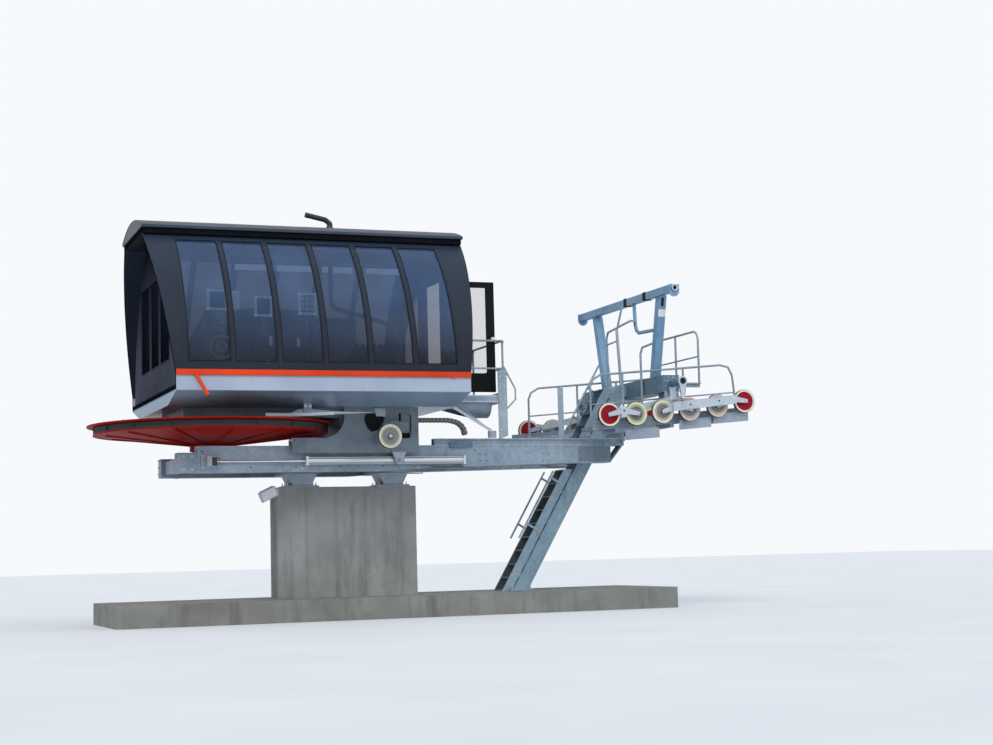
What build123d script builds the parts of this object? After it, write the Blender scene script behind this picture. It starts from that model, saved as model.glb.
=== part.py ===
"""Chairlift drive terminal: a machine room on a sliding carriage, over a concrete pier.

Millimetres. X runs along the line and uphill, Y away from the photo's camera, Z up.
The origin is on the slab's underside, below the pier. Near is -Y, far is +Y.
"""
import math
import os
from build123d import *

os.makedirs("parts", exist_ok=True)

# Driving dimensions
ROPE_Y = 2140            # half the rope gauge, and the bullwheel's rope radius
SLAB = dict(x0=-4200, x1=6550, half=1425, top=400)
PIER = dict(x0=-1070, x1=1630, half=290, top=2460)

BEAM_IN, BEAM_OUT = 840, 1140        # inner and outer webs of a main beam, from the middle
BEAM_X0, BEAM_X1 = -2690, 5350
BEAM_TIP = 5640                      # the beam's top runs on past its web, on a brace
BEAM_TOP = 3180
BEAM_LOW = ((-2690, 2706), (670, 2706), (1710, 2772), (4650, 2830), (5350, 2835))
NOSE_X0, NOSE_TOP = -3020, 3060      # the lower box on a beam's downhill end
FLANGE, LIP = 20, 10                 # flange plates, and how far they stand out
RAIL = dict(x0=1750, wide=200, high=125)
PEDESTALS = (-580, 1200)             # bolsters on the pier
BOLSTER = dict(low=370, top=560, high=195)    # their length along X, and the tie box over them
TIES = ((-2950, -2760, 2760, 3000), (2500, 2700, 2860, 3080), (4830, 5330, 2860, 3160))   # x0 x1 z0 z1

LEG_FOOT, LEG_HEAD = (3740, 400), (6091, 4420)
LEG_WIDE, LEG_HALF = 310, 250        # along X, and half of it along Y
STAIR_BACK, RAIL_BACK, STAIR_Y = 300, 590, 230     # stringers and handrails, from the leg's middle

WHEEL_X = -2230                      # bullwheel
ROPE_Z = 3540
RIM_R, RIM_LOW_R = 2260, 2150
RIM_TOP, RIM_LOW = 3630, 3450
HUB_R, HUB_LOW = 400, 3150
SHAFT_R = 110
RUN = 0.3                            # running clearance at shafts, pins, rods and shoes

PLATE_IN, PLATE_OUT = 1290, 1320     # carriage side plates, from the middle
DECK_TOP = 3870                      # the carriage frame, and the underside of the housing
DECK_LOW = 3700
PLATE_X0, PLATE_X1 = -1020, 1380
PLATE_LOW = 3030

CYL_Y, CYL_Z, CYL_R, CAP_HALF = 1235, 2895, 68, 80
CYL_X0, CYL_X1 = -765, 2300
ROD_R, ROD_X0, ROD_X1 = 20, -2420, 600
TRUNNION_X = 985
GIRDER_X0, GIRDER_X1 = -2950, 1300   # carriage girders over the bullwheel
PLATE_WINDOW = dict(x0=820, x1=1240, z0=3300, z1=3760)

HOUSE = dict(x0=-3305, x1=2060, x0_top=-3660, x1_top=2400)
SKIRT_LOW, SKIRT_TOP = 4070, 4330
PAN_Y = 1550
FLOOR_TOP = 4170
WALL = 45
WALL_TOP = 7020
WALL_FOOT, WALL_HEAD = 2363, 998     # the side walls' outer faces at foot and head, from the middle
ARC_R = 3710                         # the radius they bulge by in between
MULLION_X0, MULLION_STEP, PANES = -3135, 833, 6
MULLION_HALF = 50
SILL, HEAD = 4580, 6900
SKIRT_Y = WALL_FOOT + 7
END_IN = 80                          # an end wall's outer face, in from the housing's end
ROOF = dict(x0=-3680, x1=2420, half=WALL_HEAD + 102, top=7395)
FASCIA, DRIP, FASCIA_IN, ROOF_SHEET = 100, 50, 30, 40    # fascia, the crown's edge over it, its setback, sheet

DOOR_Y0, DOOR_W, DOOR_H = -980, 960, 2150
DOOR_T = 40
STILE, TOP_RAIL, LOW_RAIL = 165, 110, 360
HINGE_Z, HINGE_HIGH = (4500, 5900), 90
LANDING = dict(x1=3170, y0=-1170, y1=520, low=3990, top=4120)
TRAY = dict(y=-750, r=270, sheet=12)  # the rounded tray under the landing

SHEAVE_R, SHEAVE_HALF, PIN_R = 226, 35, 22
SHEAVE_XZ = ((4890, 3680), (5450, 3700), (6010, 3740), (6580, 3785), (7180, 3860), (7770, 3950))
FAR_SHIFT = 60                       # the far train stands a little further uphill
ROCKER_LIFT, BEAM_LIFT = 60, 78      # a rocker's pivot and the beam's, over the wheels' centres
CATCHERS = ((5450, 5254, 5971, 3300, 3350), (6580, 6399, 7082, 3495, 3550), (7180, 7137, 7893, 3610, 3670))
IDLER_X, IDLER_Z, IDLER_R = 570, 3280, 220

ARM_X, ARM_Z = 6310, 4305            # crossarm
ARM_HALF_X, ARM_HALF_Z, ARM_BOX = 170, 155, 1950
TUBE_R, TUBE_BORE, TUBE_OUT = 80, 55, 2460    # the round tube at each end of it
HANG_Z = 3975                        # where a sheave train hangs from it
LIFT_Z, LIFT_HALF, LIFT_BOX, LIFT_BORE = 6130, 2200, 70, 40    # lifting frame over it
STAY_Z = 5440                        # where its stay meets the near post
POST_X, POST_FOOT, POST_HEAD, POST_HALF = 6360, 1150, 1545, 85
WALK = dict(x0=4650, x1=8010, z0=3470, slope=0.084, y_in=1380, y_out=1900, rail=1010)
WALK_SHIFT = -170                    # the far walkway stands further downhill
PLATFORM = dict(long=950, half=1030, top=4420, rail=1050)


def block(x0, x1, y0, y1, z0, z1):
    """A box between two corners."""
    return Pos((x0 + x1) / 2, (y0 + y1) / 2, (z0 + z1) / 2) * Box(abs(x1 - x0), abs(y1 - y0), abs(z1 - z0))


def bar(p, q, r):
    """A round bar from p to q."""
    start, end = Vector(*p), Vector(*q)
    return Solid.make_cylinder(r, (end - start).length, Plane(origin=start, z_dir=end - start))


def pipe(points, r):
    """Round bars through the points, with a ball at each bend."""
    shape = bar(points[0], points[1], r)
    for a, b in zip(points[1:], points[2:]):
        shape = shape + bar(a, b, r) + Pos(*a) * Sphere(r)
    return shape


def side_slice(points, y0, y1):
    """An outline in X and Z, as thick as the step from y0 to y1."""
    face = Plane.XZ * make_face(Polyline(*points, close=True))
    low = min(y0, y1)
    return Pos(0, low, 0) * extrude(face, amount=-abs(y1 - y0))


def end_slice(points, x0, x1):
    """An outline in Y and Z, as long as the step from x0 to x1."""
    face = Plane.YZ * make_face(Polyline(*points, close=True))
    return Pos(x0, 0, 0) * extrude(face, amount=x1 - x0)


def inclined(foot, head, wide, y0, y1):
    """A box from foot to head in X and Z, its width measured level."""
    half = wide / 2
    points = [(foot[0] - half, foot[1]), (foot[0] + half, foot[1]),
              (head[0] + half, head[1]), (head[0] - half, head[1])]
    return side_slice(points, y0, y1)


def disc(x, z, r, y0, y1):
    """A disc across the line."""
    return bar((x, min(y0, y1), z), (x, max(y0, y1), z), r)


def both(make):
    """The near piece and its mirror image on the far side."""
    near = make()
    return [near, mirror(near, about=Plane.XZ)]


def save(name, *shapes):
    """Writes one node, of one solid or of several that do not touch."""
    solids = [solid for shape in shapes for solid in shape.solids()]
    whole = solids[0] if len(solids) == 1 else Compound(children=solids)
    whole.label = name
    export_step(whole, f"parts/{name}.step")


# Foundation
def slab():
    return block(SLAB["x0"], SLAB["x1"], -SLAB["half"], SLAB["half"], 0, SLAB["top"])


def pier():
    return block(PIER["x0"], PIER["x1"], -PIER["half"], PIER["half"], SLAB["top"], PIER["top"])


def pedestal(x):
    """A bolster on its base plate, widening up to the tie box that both beams sit on."""
    plate_top, low = PIER["top"] + 30, BEAM_LOW[0][1]
    plate = block(x - 320, x + 320, -PIER["half"] + 20, PIER["half"] - 20, PIER["top"], plate_top)
    foot = Pos(x, 0, plate_top) * Rectangle(BOLSTER["low"], 2 * PIER["half"] - 100)
    head = Pos(x, 0, low) * Rectangle(BOLSTER["top"], 2 * PIER["half"])
    return plate + loft([foot, head])


# Main beams, with their flanges and the channel that the landing's foot rides
def main_beam():
    outline = list(BEAM_LOW) + [(BEAM_X1, BEAM_TOP), (BEAM_X0, BEAM_TOP)]
    beam = side_slice(outline, -BEAM_OUT, -BEAM_IN)
    beam += block(NOSE_X0, BEAM_X0, -BEAM_OUT, -BEAM_IN, BEAM_LOW[0][1], NOSE_TOP)
    beam += block(BEAM_X0, BEAM_X1, -BEAM_OUT - LIP, -BEAM_IN + LIP, BEAM_TOP - FLANGE, BEAM_TOP)
    beam += block(BEAM_X0 - 20, BEAM_X0 + 20, -BEAM_OUT - LIP, -BEAM_IN + LIP, BEAM_LOW[0][1] - 10, BEAM_TOP)
    rail_top = BEAM_TOP + RAIL["high"]
    rail = block(RAIL["x0"], BEAM_TIP, -BEAM_OUT, -BEAM_OUT + RAIL["wide"], BEAM_TOP, rail_top)
    rail -= block(RAIL["x0"], BEAM_TIP, -BEAM_OUT, -BEAM_OUT + 40, BEAM_TOP + 20, rail_top - 20)
    tip = block(BEAM_X1 - 10, BEAM_TIP, -BEAM_OUT, -BEAM_IN, BEAM_TOP - FLANGE, BEAM_TOP)
    tip += block(BEAM_TIP - 30, BEAM_TIP, -BEAM_OUT, -BEAM_OUT + RAIL["wide"], BEAM_TOP - FLANGE, BEAM_TOP + 220)
    brace = inclined((BEAM_X1 - 10, BEAM_LOW[-1][1] + 10), (BEAM_TIP - 30, BEAM_TOP - 10), 40, -BEAM_OUT + 20, -BEAM_IN - 20)
    return beam + rail + tip + brace


def guide_post():
    """The flat upright on the near beam, beside the stairs."""
    x, high = 4370, 985
    foot = BEAM_TOP + RAIL["high"]
    return block(x - 55, x + 55, -BEAM_OUT + 90, -BEAM_OUT + 110, foot, foot + high)


def cross_members():
    """Boxes between the main beams; the last one is open for the leg."""
    tie_low = BEAM_LOW[0][1]
    half = BOLSTER["top"] / 2
    spans = [(x - half, x + half, tie_low, tie_low + BOLSTER["high"]) for x in PEDESTALS]
    boxes = []
    for x0, x1, z0, z1 in list(TIES) + spans:
        box = block(x0, x1, -BEAM_IN + LIP, BEAM_IN - LIP, z0, z1)
        for side in (-1, 1):
            box += block(x0 + 40, x1 - 40, side * BEAM_IN, side * (BEAM_IN - LIP), z0 + 20, z1 - 20)
        boxes.append(box - leg_body())
    return boxes


# Leg
def leg_body():
    return inclined(LEG_FOOT, LEG_HEAD, LEG_WIDE, -LEG_HALF, LEG_HALF)


def leg_at(z):
    """The leg's middle in X at a height."""
    share = (z - LEG_FOOT[1]) / (LEG_HEAD[1] - LEG_FOOT[1])
    return LEG_FOOT[0] + share * (LEG_HEAD[0] - LEG_FOOT[0])


def leg():
    foot = block(LEG_FOOT[0] - 235, LEG_FOOT[0] + 260, -330, 330, SLAB["top"], SLAB["top"] + 30)
    arm_low = ARM_Z - ARM_HALF_Z
    saddle = block(leg_at(arm_low), ARM_X + ARM_HALF_X, -LEG_HALF, LEG_HALF, arm_low - 60, arm_low)
    return (leg_body() + foot + saddle) - crossarm_box()


def leg_line(z, back):
    """A point on a line along the leg, so far downhill of its middle."""
    return leg_at(z) - back


def ladder():
    """Stringers and treads down the leg's downhill face, with a handrail on each side."""
    low, high, step = SLAB["top"], 2750, 260
    shape = None
    for side in (-1, 1):
        y = side * STAIR_Y
        stringer = inclined((leg_line(low, STAIR_BACK), low), (leg_line(high, STAIR_BACK), high), 70, y - 10, y + 10)
        shape = stringer if shape is None else shape + stringer
        shape += bar((leg_line(1420, RAIL_BACK), y, 1420), (leg_line(2720, RAIL_BACK), y, 2720), 18)
        for z in (1500, 2550):
            shape += bar((leg_line(z, RAIL_BACK), y, z), (leg_line(z, STAIR_BACK), y, z), 14)
        for z in (700, 2300):
            shape += block(leg_line(z, STAIR_BACK), leg_at(z) - LEG_WIDE / 2, y - 10, y + 10, z - 25, z + 25)
    for index in range(1, 10):
        z = low + index * step
        x = leg_line(z, STAIR_BACK)
        shape += block(x - 90, x + 30, -STAIR_Y + 5, STAIR_Y - 5, z - 12, z + 12)
    return shape - leg_body()


def upper_stair():
    """The stair's second flight, from the last cross member up to the crossarm."""
    low, high, step = TIES[-1][3], ARM_Z + 60, 235
    shape = None
    for side in (-1, 1):
        y = side * STAIR_Y
        stringer = inclined((leg_line(low, STAIR_BACK), low), (leg_line(high, STAIR_BACK - 40), high), 80, y - 10, y + 10)
        shape = stringer if shape is None else shape + stringer
        for z in (3420, 4200):
            shape += block(leg_line(z, STAIR_BACK), leg_at(z) - LEG_WIDE / 2, y - 10, y + 10, z - 25, z + 25)
    rail_top = 4890
    shape += bar((leg_line(3550, RAIL_BACK), STAIR_Y, 3550), (leg_line(rail_top, RAIL_BACK), STAIR_Y, rail_top), 18)
    for z in (3700, 4280):
        shape += bar((leg_line(z, RAIL_BACK), STAIR_Y, z), (leg_line(z, STAIR_BACK - 20), STAIR_Y, z), 14)
    for index in range(1, 6):
        z = low + index * step
        x = leg_line(z, STAIR_BACK)
        shape += block(x - 150, x + 40, -STAIR_Y + 5, STAIR_Y - 5, z - 14, z + 14)
    return shape - leg_body() - crossarm_box()


# Crossarm, lifting frame and catwalks
def crossarm_box():
    return block(ARM_X - ARM_HALF_X, ARM_X + ARM_HALF_X, -ARM_BOX, ARM_BOX, ARM_Z - ARM_HALF_Z, ARM_Z + ARM_HALF_Z)


def crossarm():
    """A box with a round tube out of each end, and the tapered plate that a train hangs from."""
    shape = crossarm_box()
    plate = 25
    for side in (-1, 1):
        shape += disc(ARM_X, ARM_Z, TUBE_R, side * (ARM_BOX - 10), side * TUBE_OUT)
        outer = side * (TUBE_OUT - 10)
        hanger = side_slice([(ARM_X - TUBE_R, ARM_Z), (ARM_X + TUBE_R, ARM_Z), (ARM_X + 40, HANG_Z), (ARM_X - 40, HANG_Z)],
                            outer - side * plate, outer)
        shape += hanger + disc(ARM_X, HANG_Z, 40, outer - side * plate, outer)
        shape -= disc(ARM_X, ARM_Z, TUBE_BORE, side * (ARM_BOX + 40), side * (TUBE_OUT + 10))
    return shape


def post_y(z):
    """How far out a lifting post's middle stands at a height."""
    foot_z, head_z = ARM_Z + ARM_HALF_Z, LIFT_Z - LIFT_BOX
    return POST_FOOT + (POST_HEAD - POST_FOOT) * (z - foot_z) / (head_z - foot_z)


def lifting_frame():
    """Splayed posts, and a beam with a rounded end plate and a bored end ring each side."""
    half, plate, ring = LIFT_BOX, 20, 62
    shape = block(ARM_X - half, ARM_X + half, -LIFT_HALF, LIFT_HALF, LIFT_Z - half, LIFT_Z + half)
    foot_z = ARM_Z + ARM_HALF_Z
    for side in (-1, 1):
        points = [(side * (POST_FOOT - POST_HALF), foot_z), (side * (POST_FOOT + POST_HALF), foot_z),
                  (side * (POST_HEAD + POST_HALF), LIFT_Z - half), (side * (POST_HEAD - POST_HALF), LIFT_Z - half)]
        shape += end_slice(points, POST_X - 80, POST_X + 80)
        y0, y1 = side * LIFT_HALF, side * (LIFT_HALF + plate)
        shape += block(ARM_X - 110, ARM_X + 110, y0, y1, LIFT_Z - 60, LIFT_Z + half)
        shape += disc(ARM_X, LIFT_Z - 60, 110, y0, y1)
        shape += disc(ARM_X, LIFT_Z, ring, y0, side * (LIFT_HALF + 60))
        shape -= disc(ARM_X, LIFT_Z, LIFT_BORE, side * (LIFT_HALF - 300), side * (LIFT_HALF + 70))
    x = POST_X - 60
    stay = [(x, -420, LIFT_Z - half + 20), (x, -450, STAY_Z + 190), (x, -500, STAY_Z + 70), (x, -610, STAY_Z + 10),
            (x, -post_y(STAY_Z), STAY_Z - 20)]
    shape += pipe(stay, 36)
    return shape


def service_platform():
    """The deck uphill of the crossarm with its hoop rail, and the rail along the downhill edge."""
    x0 = ARM_X + ARM_HALF_X
    x1, half, top, high = x0 + PLATFORM["long"], PLATFORM["half"], PLATFORM["top"], PLATFORM["rail"]
    shape = block(x0, x1, -half, half, top - 30, top)
    for y in (-half + 60, 0, half - 60):
        shape += block(x0, x1 - 10, y - 30, y + 30, top - 90, top - 20)
    rail_x, end = x1 - 25, half - 25
    hoop = [(rail_x, -end, top - 20), (rail_x, -end, top + high - 160), (rail_x, -end + 60, top + high - 45),
            (rail_x, -end + 170, top + high), (rail_x, end - 170, top + high), (rail_x, end - 60, top + high - 45),
            (rail_x, end, top + high - 160), (rail_x, end, top - 20)]
    shape += pipe(hoop, 22)
    shape += bar((rail_x, 0, top - 20), (rail_x, 0, top + high), 22)
    shape += bar((rail_x, -end, top + 530), (rail_x, end, top + 530), 16)
    return shape


def arm_rail():
    """The tall rail on the crossarm's downhill side, at the head of the stairs."""
    x, foot = ARM_X - ARM_HALF_X - 25, ARM_Z - 100
    shape = pipe([(x, 520, foot), (x, 560, 5480), (x, 490, 5590), (x, -300, 5665), (x, -640, 5690)], 22)
    shape += bar((x, -75, LEG_HEAD[1] - 20), (x, 60, 5640), 30)
    shape += bar((x, 10, 5640), (x + 60, -120, LIFT_Z - 60), 22)
    shape += bar((x, 550, 5340), (x, 30, 5365), 18)
    shape += pipe([(x, -1030, foot - 100), (x, -1030, 4980), (x + 25, -1070, 5100), (POST_X - 70, -1270, 5170)], 22)
    shape += pipe([(x, -640, 5690), (x + 60, -600, 5690), (POST_X - 60, -455, 5690)], 20)
    for y in (520, -1030):
        shape += block(x - 20, x + 40, y - 20, y + 20, foot - 20, foot + 20)
    return shape - crossarm_box() - lifting_frame() - leg()


def walk_top(x, shift):
    return WALK["z0"] + WALK["slope"] * (x - WALK["x0"] - shift)


def catwalk(side):
    """A sloping walkway inboard of a sheave train, with a rail along its inner edge."""
    shift = 0 if side < 0 else WALK_SHIFT
    x0, x1, y_in, y_out, high = WALK["x0"] + shift, WALK["x1"] + shift, WALK["y_in"], WALK["y_out"], WALK["rail"]

    def top(x):
        return walk_top(x, shift)

    deck = side_slice([(x0, top(x0) - 50), (x1 - 60, top(x1 - 60) - 50), (x1 - 60, top(x1 - 60)), (x0, top(x0))],
                      side * y_out, side * y_in)
    y = side * (y_in + 20)
    start, end = x0 + 195, x1 - 20
    path = [(start, y, top(start) - 40), (start, y, top(start) + high - 215), (start + 60, y, top(start) + high - 75),
            (start + 225, y, top(start + 225) + high), (end - 320, y, top(end - 320) + high),
            (end - 140, y, top(end - 140) + high - 55), (end - 60, y, top(end - 60) + high - 220),
            (end, y, top(end) + 200)]
    shape = deck + pipe(path, 21)
    shape += pipe([(end, y, top(end) + 200), (end - 80, y, top(end - 80) - 40)], 21)
    posts = (start + 690, start + 1100, start + 2000)
    for x in posts:
        shape += bar((x, y, top(x) - 40), (x, y, top(x) + high), 21)
    mid = 0.44 * high
    shape += bar((start, y, top(start) + mid), (end - 40, y, top(end - 40) + mid), 15)
    for x in (x0 + 500, ARM_X, x0 + 2550):
        shape += block(x - 40, x + 40, side * (y_out + 20), side * (y_in - 60), top(x) - 150, top(x) - 45)
    arm_low = ARM_Z - ARM_HALF_Z
    for y0, y1 in ((1500, 1560), (y_out - 60, y_out)):
        shape += block(ARM_X - 60, ARM_X + 60, side * y0, side * y1, top(ARM_X) - 60, arm_low)
    return shape


# Sheave trains
def train_points(side):
    shift = 0 if side < 0 else FAR_SHIFT
    return [(x + shift, z) for x, z in SHEAVE_XZ]


def sheave(x, z, r, side):
    """A grooved wheel with recessed faces and a bore."""
    y = side * ROPE_Y
    half = SHEAVE_HALF
    bore = PIN_R + RUN
    outline = [(bore, -half), (70, -half), (80, -half + 18), (r - 54, -half + 18), (r - 44, -half), (r, -half),
               (r, -half + 12), (r - 22, -8), (r - 22, 8), (r, half - 12), (r, half), (r - 44, half),
               (r - 54, half - 18), (80, half - 18), (70, half), (bore, half)]
    face = make_face(Polyline(*outline, close=True))
    wheel = revolve(face, axis=Axis.Y)
    return Pos(x, y, z) * wheel


def between(p, q, lift=0):
    return ((p[0] + q[0]) / 2, (p[1] + q[1]) / 2 + lift)


def link(p, q, high, y0, y1, high_q=None):
    """A flat link between two points in X and Z, with round ends; it may be higher at q."""
    dx, dz = q[0] - p[0], q[1] - p[1]
    length = math.hypot(dx, dz)
    nx, nz = -dz / length / 2, dx / length / 2
    a, b = high, high_q or high
    points = [(p[0] + nx * a, p[1] + nz * a), (p[0] - nx * a, p[1] - nz * a),
              (q[0] - nx * b, q[1] - nz * b), (q[0] + nx * b, q[1] + nz * b)]
    shape = side_slice(points, y0, y1)
    for (x, z), across in ((p, a), (q, b)):
        shape += disc(x, z, across / 2, y0, y1)
    return shape


def sheave_arms(side):
    """Rockers, the four-wheel beam and the six-wheel beam, hung under the crossarm."""
    wheels = train_points(side)
    gap = SHEAVE_HALF + 20
    plate, main, pin = 20, 45, 30
    inner, outer = side * (ROPE_Y - gap), side * (ROPE_Y + gap)
    rocker_in, rocker_out = inner - side * plate, outer + side * plate
    pivots = [between(wheels[0], wheels[1], ROCKER_LIFT)]
    pivots += [between(wheels[index], wheels[index + 1], BEAM_LIFT) for index in (2, 4)]
    shape = None
    for y0, y1 in ((rocker_in, inner), (outer, rocker_out)):
        for index, pivot in zip((0, 2, 4), pivots):
            for wheel in wheels[index:index + 2]:
                rocker = link(wheel, pivot, 70, y0, y1, 105)
                shape = rocker if shape is None else shape + rocker
    for x, z in wheels:
        shape += disc(x, z, PIN_R, rocker_in, rocker_out)
    for y0, y1 in ((rocker_in - side * main, rocker_in), (rocker_out, rocker_out + side * main)):
        shape += link(pivots[1], pivots[2], 140, y0, y1)
    for x, z in pivots[1:]:
        shape += disc(x, z, pin, rocker_in - side * main, rocker_out + side * main)
    y0, y1 = rocker_in - side * 2 * main, rocker_in - side * main
    shape += disc(pivots[0][0], pivots[0][1], pin, y0, outer)
    hang, middle = (ARM_X, HANG_Z), between(pivots[1], pivots[2])
    shape += link(pivots[0], hang, 110, y0, y1, 150) + link(middle, hang, 110, y0, y1, 150)
    shape += disc(middle[0], middle[1], pin, y0, rocker_in)
    shape += disc(hang[0], hang[1], pin, y0, side * (TUBE_OUT - 35))
    shape += block(ARM_X - 60, ARM_X + 60, y0, y1, HANG_Z, ARM_Z - TUBE_R + 12)
    return shape - crossarm()


def rope_catchers(side):
    """Plates below the wheels, on hangers from the inner rocker plates."""
    shift = 0 if side < 0 else FAR_SHIFT
    y = side * (ROPE_Y - SHEAVE_HALF - 20)
    y0, y1 = y - 20 * side, y - 35 * side
    half = 95
    plates = []
    for wheel_x, x0, x1, z0, z1 in CATCHERS:
        wheel_z = dict(SHEAVE_XZ)[wheel_x]
        plate = side_slice([(x0 + shift, z0 - half), (x1 + shift, z1 - half), (x1 + shift, z1 + half), (x0 + shift, z0 + half)],
                           y0, y1)
        x = wheel_x + shift
        plates.append(plate + block(x - 25, x + 25, y0, y1, z0, wheel_z - 20))
    return plates


# Carriage
def side_plate():
    """The cheek outside a main beam: a lobe, a hollow for the bullwheel's rim and a window."""
    lobe_top, arc_x, arc_top = 3310, -40, 3690
    lobe_end = -480
    lobe_x = PLATE_X0
    start, turn = (lobe_end, lobe_top), (arc_x, arc_top)
    mid = (lobe_end + 0.72 * (arc_x - lobe_end), lobe_top + 0.28 * (arc_top - lobe_top))
    edges = [Line((lobe_x, PLATE_LOW), (PLATE_X1, PLATE_LOW)), Line((PLATE_X1, PLATE_LOW), (PLATE_X1, DECK_TOP)),
             Line((PLATE_X1, DECK_TOP), (arc_x, DECK_TOP)), Line((arc_x, DECK_TOP), turn),
             ThreePointArc(turn, mid, start), Line(start, (lobe_x, lobe_top)), Line((lobe_x, lobe_top), (lobe_x, PLATE_LOW))]
    face = Plane.XZ * make_face(Wire(edges))
    plate = Pos(0, -PLATE_OUT, 0) * extrude(face, amount=-(PLATE_OUT - PLATE_IN))
    window = block(PLATE_WINDOW["x0"], PLATE_WINDOW["x1"], -PLATE_OUT - 10, -PLATE_IN + 10, PLATE_WINDOW["z0"], PLATE_WINDOW["z1"])
    plate -= fillet(window.edges().filter_by(Axis.Y), 60)
    lug = side_slice([(TRUNNION_X - 140, PLATE_LOW + 60), (TRUNNION_X - 90, CYL_Z), (TRUNNION_X + 90, CYL_Z),
                      (TRUNNION_X + 140, PLATE_LOW + 60)], -PLATE_OUT - 30, -PLATE_OUT)
    lug += disc(TRUNNION_X, CYL_Z, 92, -PLATE_OUT - 30, -PLATE_OUT)
    shoe_low = BEAM_TOP + RUN
    shoe = block(PLATE_X0 + 30, lobe_end - 40, -PLATE_IN, -BEAM_IN - 60, shoe_low, lobe_top - 10)
    idler_arm = block(IDLER_X - 70, IDLER_X + 70, -ROPE_Y + SHEAVE_HALF + 15, -PLATE_OUT, IDLER_Z - 70, IDLER_Z + 70)
    pin = disc(IDLER_X, IDLER_Z, PIN_R, -ROPE_Y - SHEAVE_HALF - 10, -ROPE_Y + SHEAVE_HALF + 20)
    return plate + lug + shoe + idler_arm + pin


def carriage_frame():
    """Side plates, girders over the bullwheel, shoes on the beams and the shaft's bearing tube."""
    plates = both(side_plate)
    shape = plates[0] + plates[1]
    girder_in, girder_out = BEAM_IN + 50, BEAM_OUT - 50
    for side in (-1, 1):
        shape += block(GIRDER_X0, GIRDER_X1, side * girder_in, side * girder_out, DECK_LOW, DECK_TOP)
        shape += block(-50, GIRDER_X1 - 50, side * girder_in, side * girder_out, BEAM_TOP + RUN, DECK_LOW)
    for x0, x1, z0 in ((GIRDER_X0, GIRDER_X0 + 150, DECK_LOW), (90, 270, 3400), (GIRDER_X1 - 250, GIRDER_X1 - 50, 3400)):
        shape += block(x0, x1, -PLATE_IN if x0 > -1000 else -girder_in, PLATE_IN if x0 > -1000 else girder_in, z0, DECK_TOP)
    tube_r = SHAFT_R + 90
    shape += block(WHEEL_X - tube_r, WHEEL_X + tube_r, -girder_in, girder_in, DECK_LOW + 40, DECK_TOP)
    shape += bar((WHEEL_X, 0, DECK_LOW), (WHEEL_X, 0, DECK_TOP), tube_r)
    return shape - bar((WHEEL_X, 0, DECK_LOW - 10), (WHEEL_X, 0, DECK_TOP + 10), SHAFT_R + RUN)


def barrel():
    """A tension cylinder's barrel: bored tube, square caps, tie rods and a trunnion block."""
    shape = bar((CYL_X0, -CYL_Y, CYL_Z), (CYL_X1, -CYL_Y, CYL_Z), CYL_R)
    for x0, x1 in ((CYL_X0, CYL_X0 + 45), (CYL_X1 - 45, CYL_X1)):
        shape += block(x0, x1, -CYL_Y - CAP_HALF, -CYL_Y + CAP_HALF, CYL_Z - CAP_HALF, CYL_Z + CAP_HALF)
    shape += block(TRUNNION_X - 60, TRUNNION_X + 60, -PLATE_OUT, -CYL_Y, CYL_Z - 60, CYL_Z + 60)
    shape -= bar((CYL_X0 + 40, -CYL_Y, CYL_Z), (CYL_X1 - 40, -CYL_Y, CYL_Z), CYL_R - 14)
    return shape - bar((CYL_X0 - 10, -CYL_Y, CYL_Z), (CYL_X0 + 50, -CYL_Y, CYL_Z), ROD_R + RUN)


def tension_rod():
    """A rod with its piston, held in a fork on the beam."""
    shape = bar((ROD_X0, -CYL_Y, CYL_Z), (ROD_X1, -CYL_Y, CYL_Z), ROD_R)
    shape += bar((ROD_X1 - 60, -CYL_Y, CYL_Z), (ROD_X1, -CYL_Y, CYL_Z), CYL_R - 18)
    base_x = BEAM_X0 + 30
    shape += block(base_x, base_x + 200, -BEAM_OUT - 20, -BEAM_OUT, CYL_Z - 130, CYL_Z + 130)
    shape += block(base_x + 90, base_x + 180, -CYL_Y - 60, -BEAM_OUT - 20, CYL_Z - 90, CYL_Z + 90)
    for z in (CYL_Z - 90, CYL_Z + 78):
        shape += block(base_x + 180, base_x + 350, -CYL_Y - 60, -CYL_Y + 60, z, z + 12)
    shape += bar((base_x + 225, -CYL_Y, CYL_Z - 80), (base_x + 225, -CYL_Y, CYL_Z + 80), 52)
    return shape


# Bullwheel
def bullwheel():
    """A grooved rim on a shallow cone with ribs below it, and a hub with its shaft."""
    rim_in = 2000
    sheet = 18
    cone_out, cone_in = RIM_LOW + 10, HUB_LOW + 120
    outline = [(0, HUB_LOW), (HUB_R, HUB_LOW), (HUB_R, cone_in), (rim_in, cone_out),
               (RIM_LOW_R, RIM_LOW), (RIM_LOW_R, RIM_LOW + 25), (ROPE_Y - 70, ROPE_Z - 50), (ROPE_Y - 70, ROPE_Z + 50),
               (RIM_R, RIM_TOP - 25), (RIM_R, RIM_TOP), (rim_in, RIM_TOP), (rim_in, cone_out + sheet + 60),
               (HUB_R, cone_in + sheet + 60), (HUB_R, RIM_TOP - 10), (0, RIM_TOP - 10)]
    face = Plane.XZ * make_face(Polyline(*outline, close=True))
    wheel = revolve(face, axis=Axis.Z)
    for index in range(12):
        rib = side_slice([(HUB_R - 20, cone_in - 25), (rim_in - 60, cone_out - 30), (rim_in - 60, cone_out + 40),
                          (HUB_R - 20, cone_in + 40)], -8, 8)
        wheel += Rot(0, 0, index * 30) * rib
    wheel = Pos(WHEEL_X, 0, 0) * wheel
    return wheel + bar((WHEEL_X, 0, RIM_TOP - 60), (WHEEL_X, 0, DECK_TOP - 10), SHAFT_R)


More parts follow.
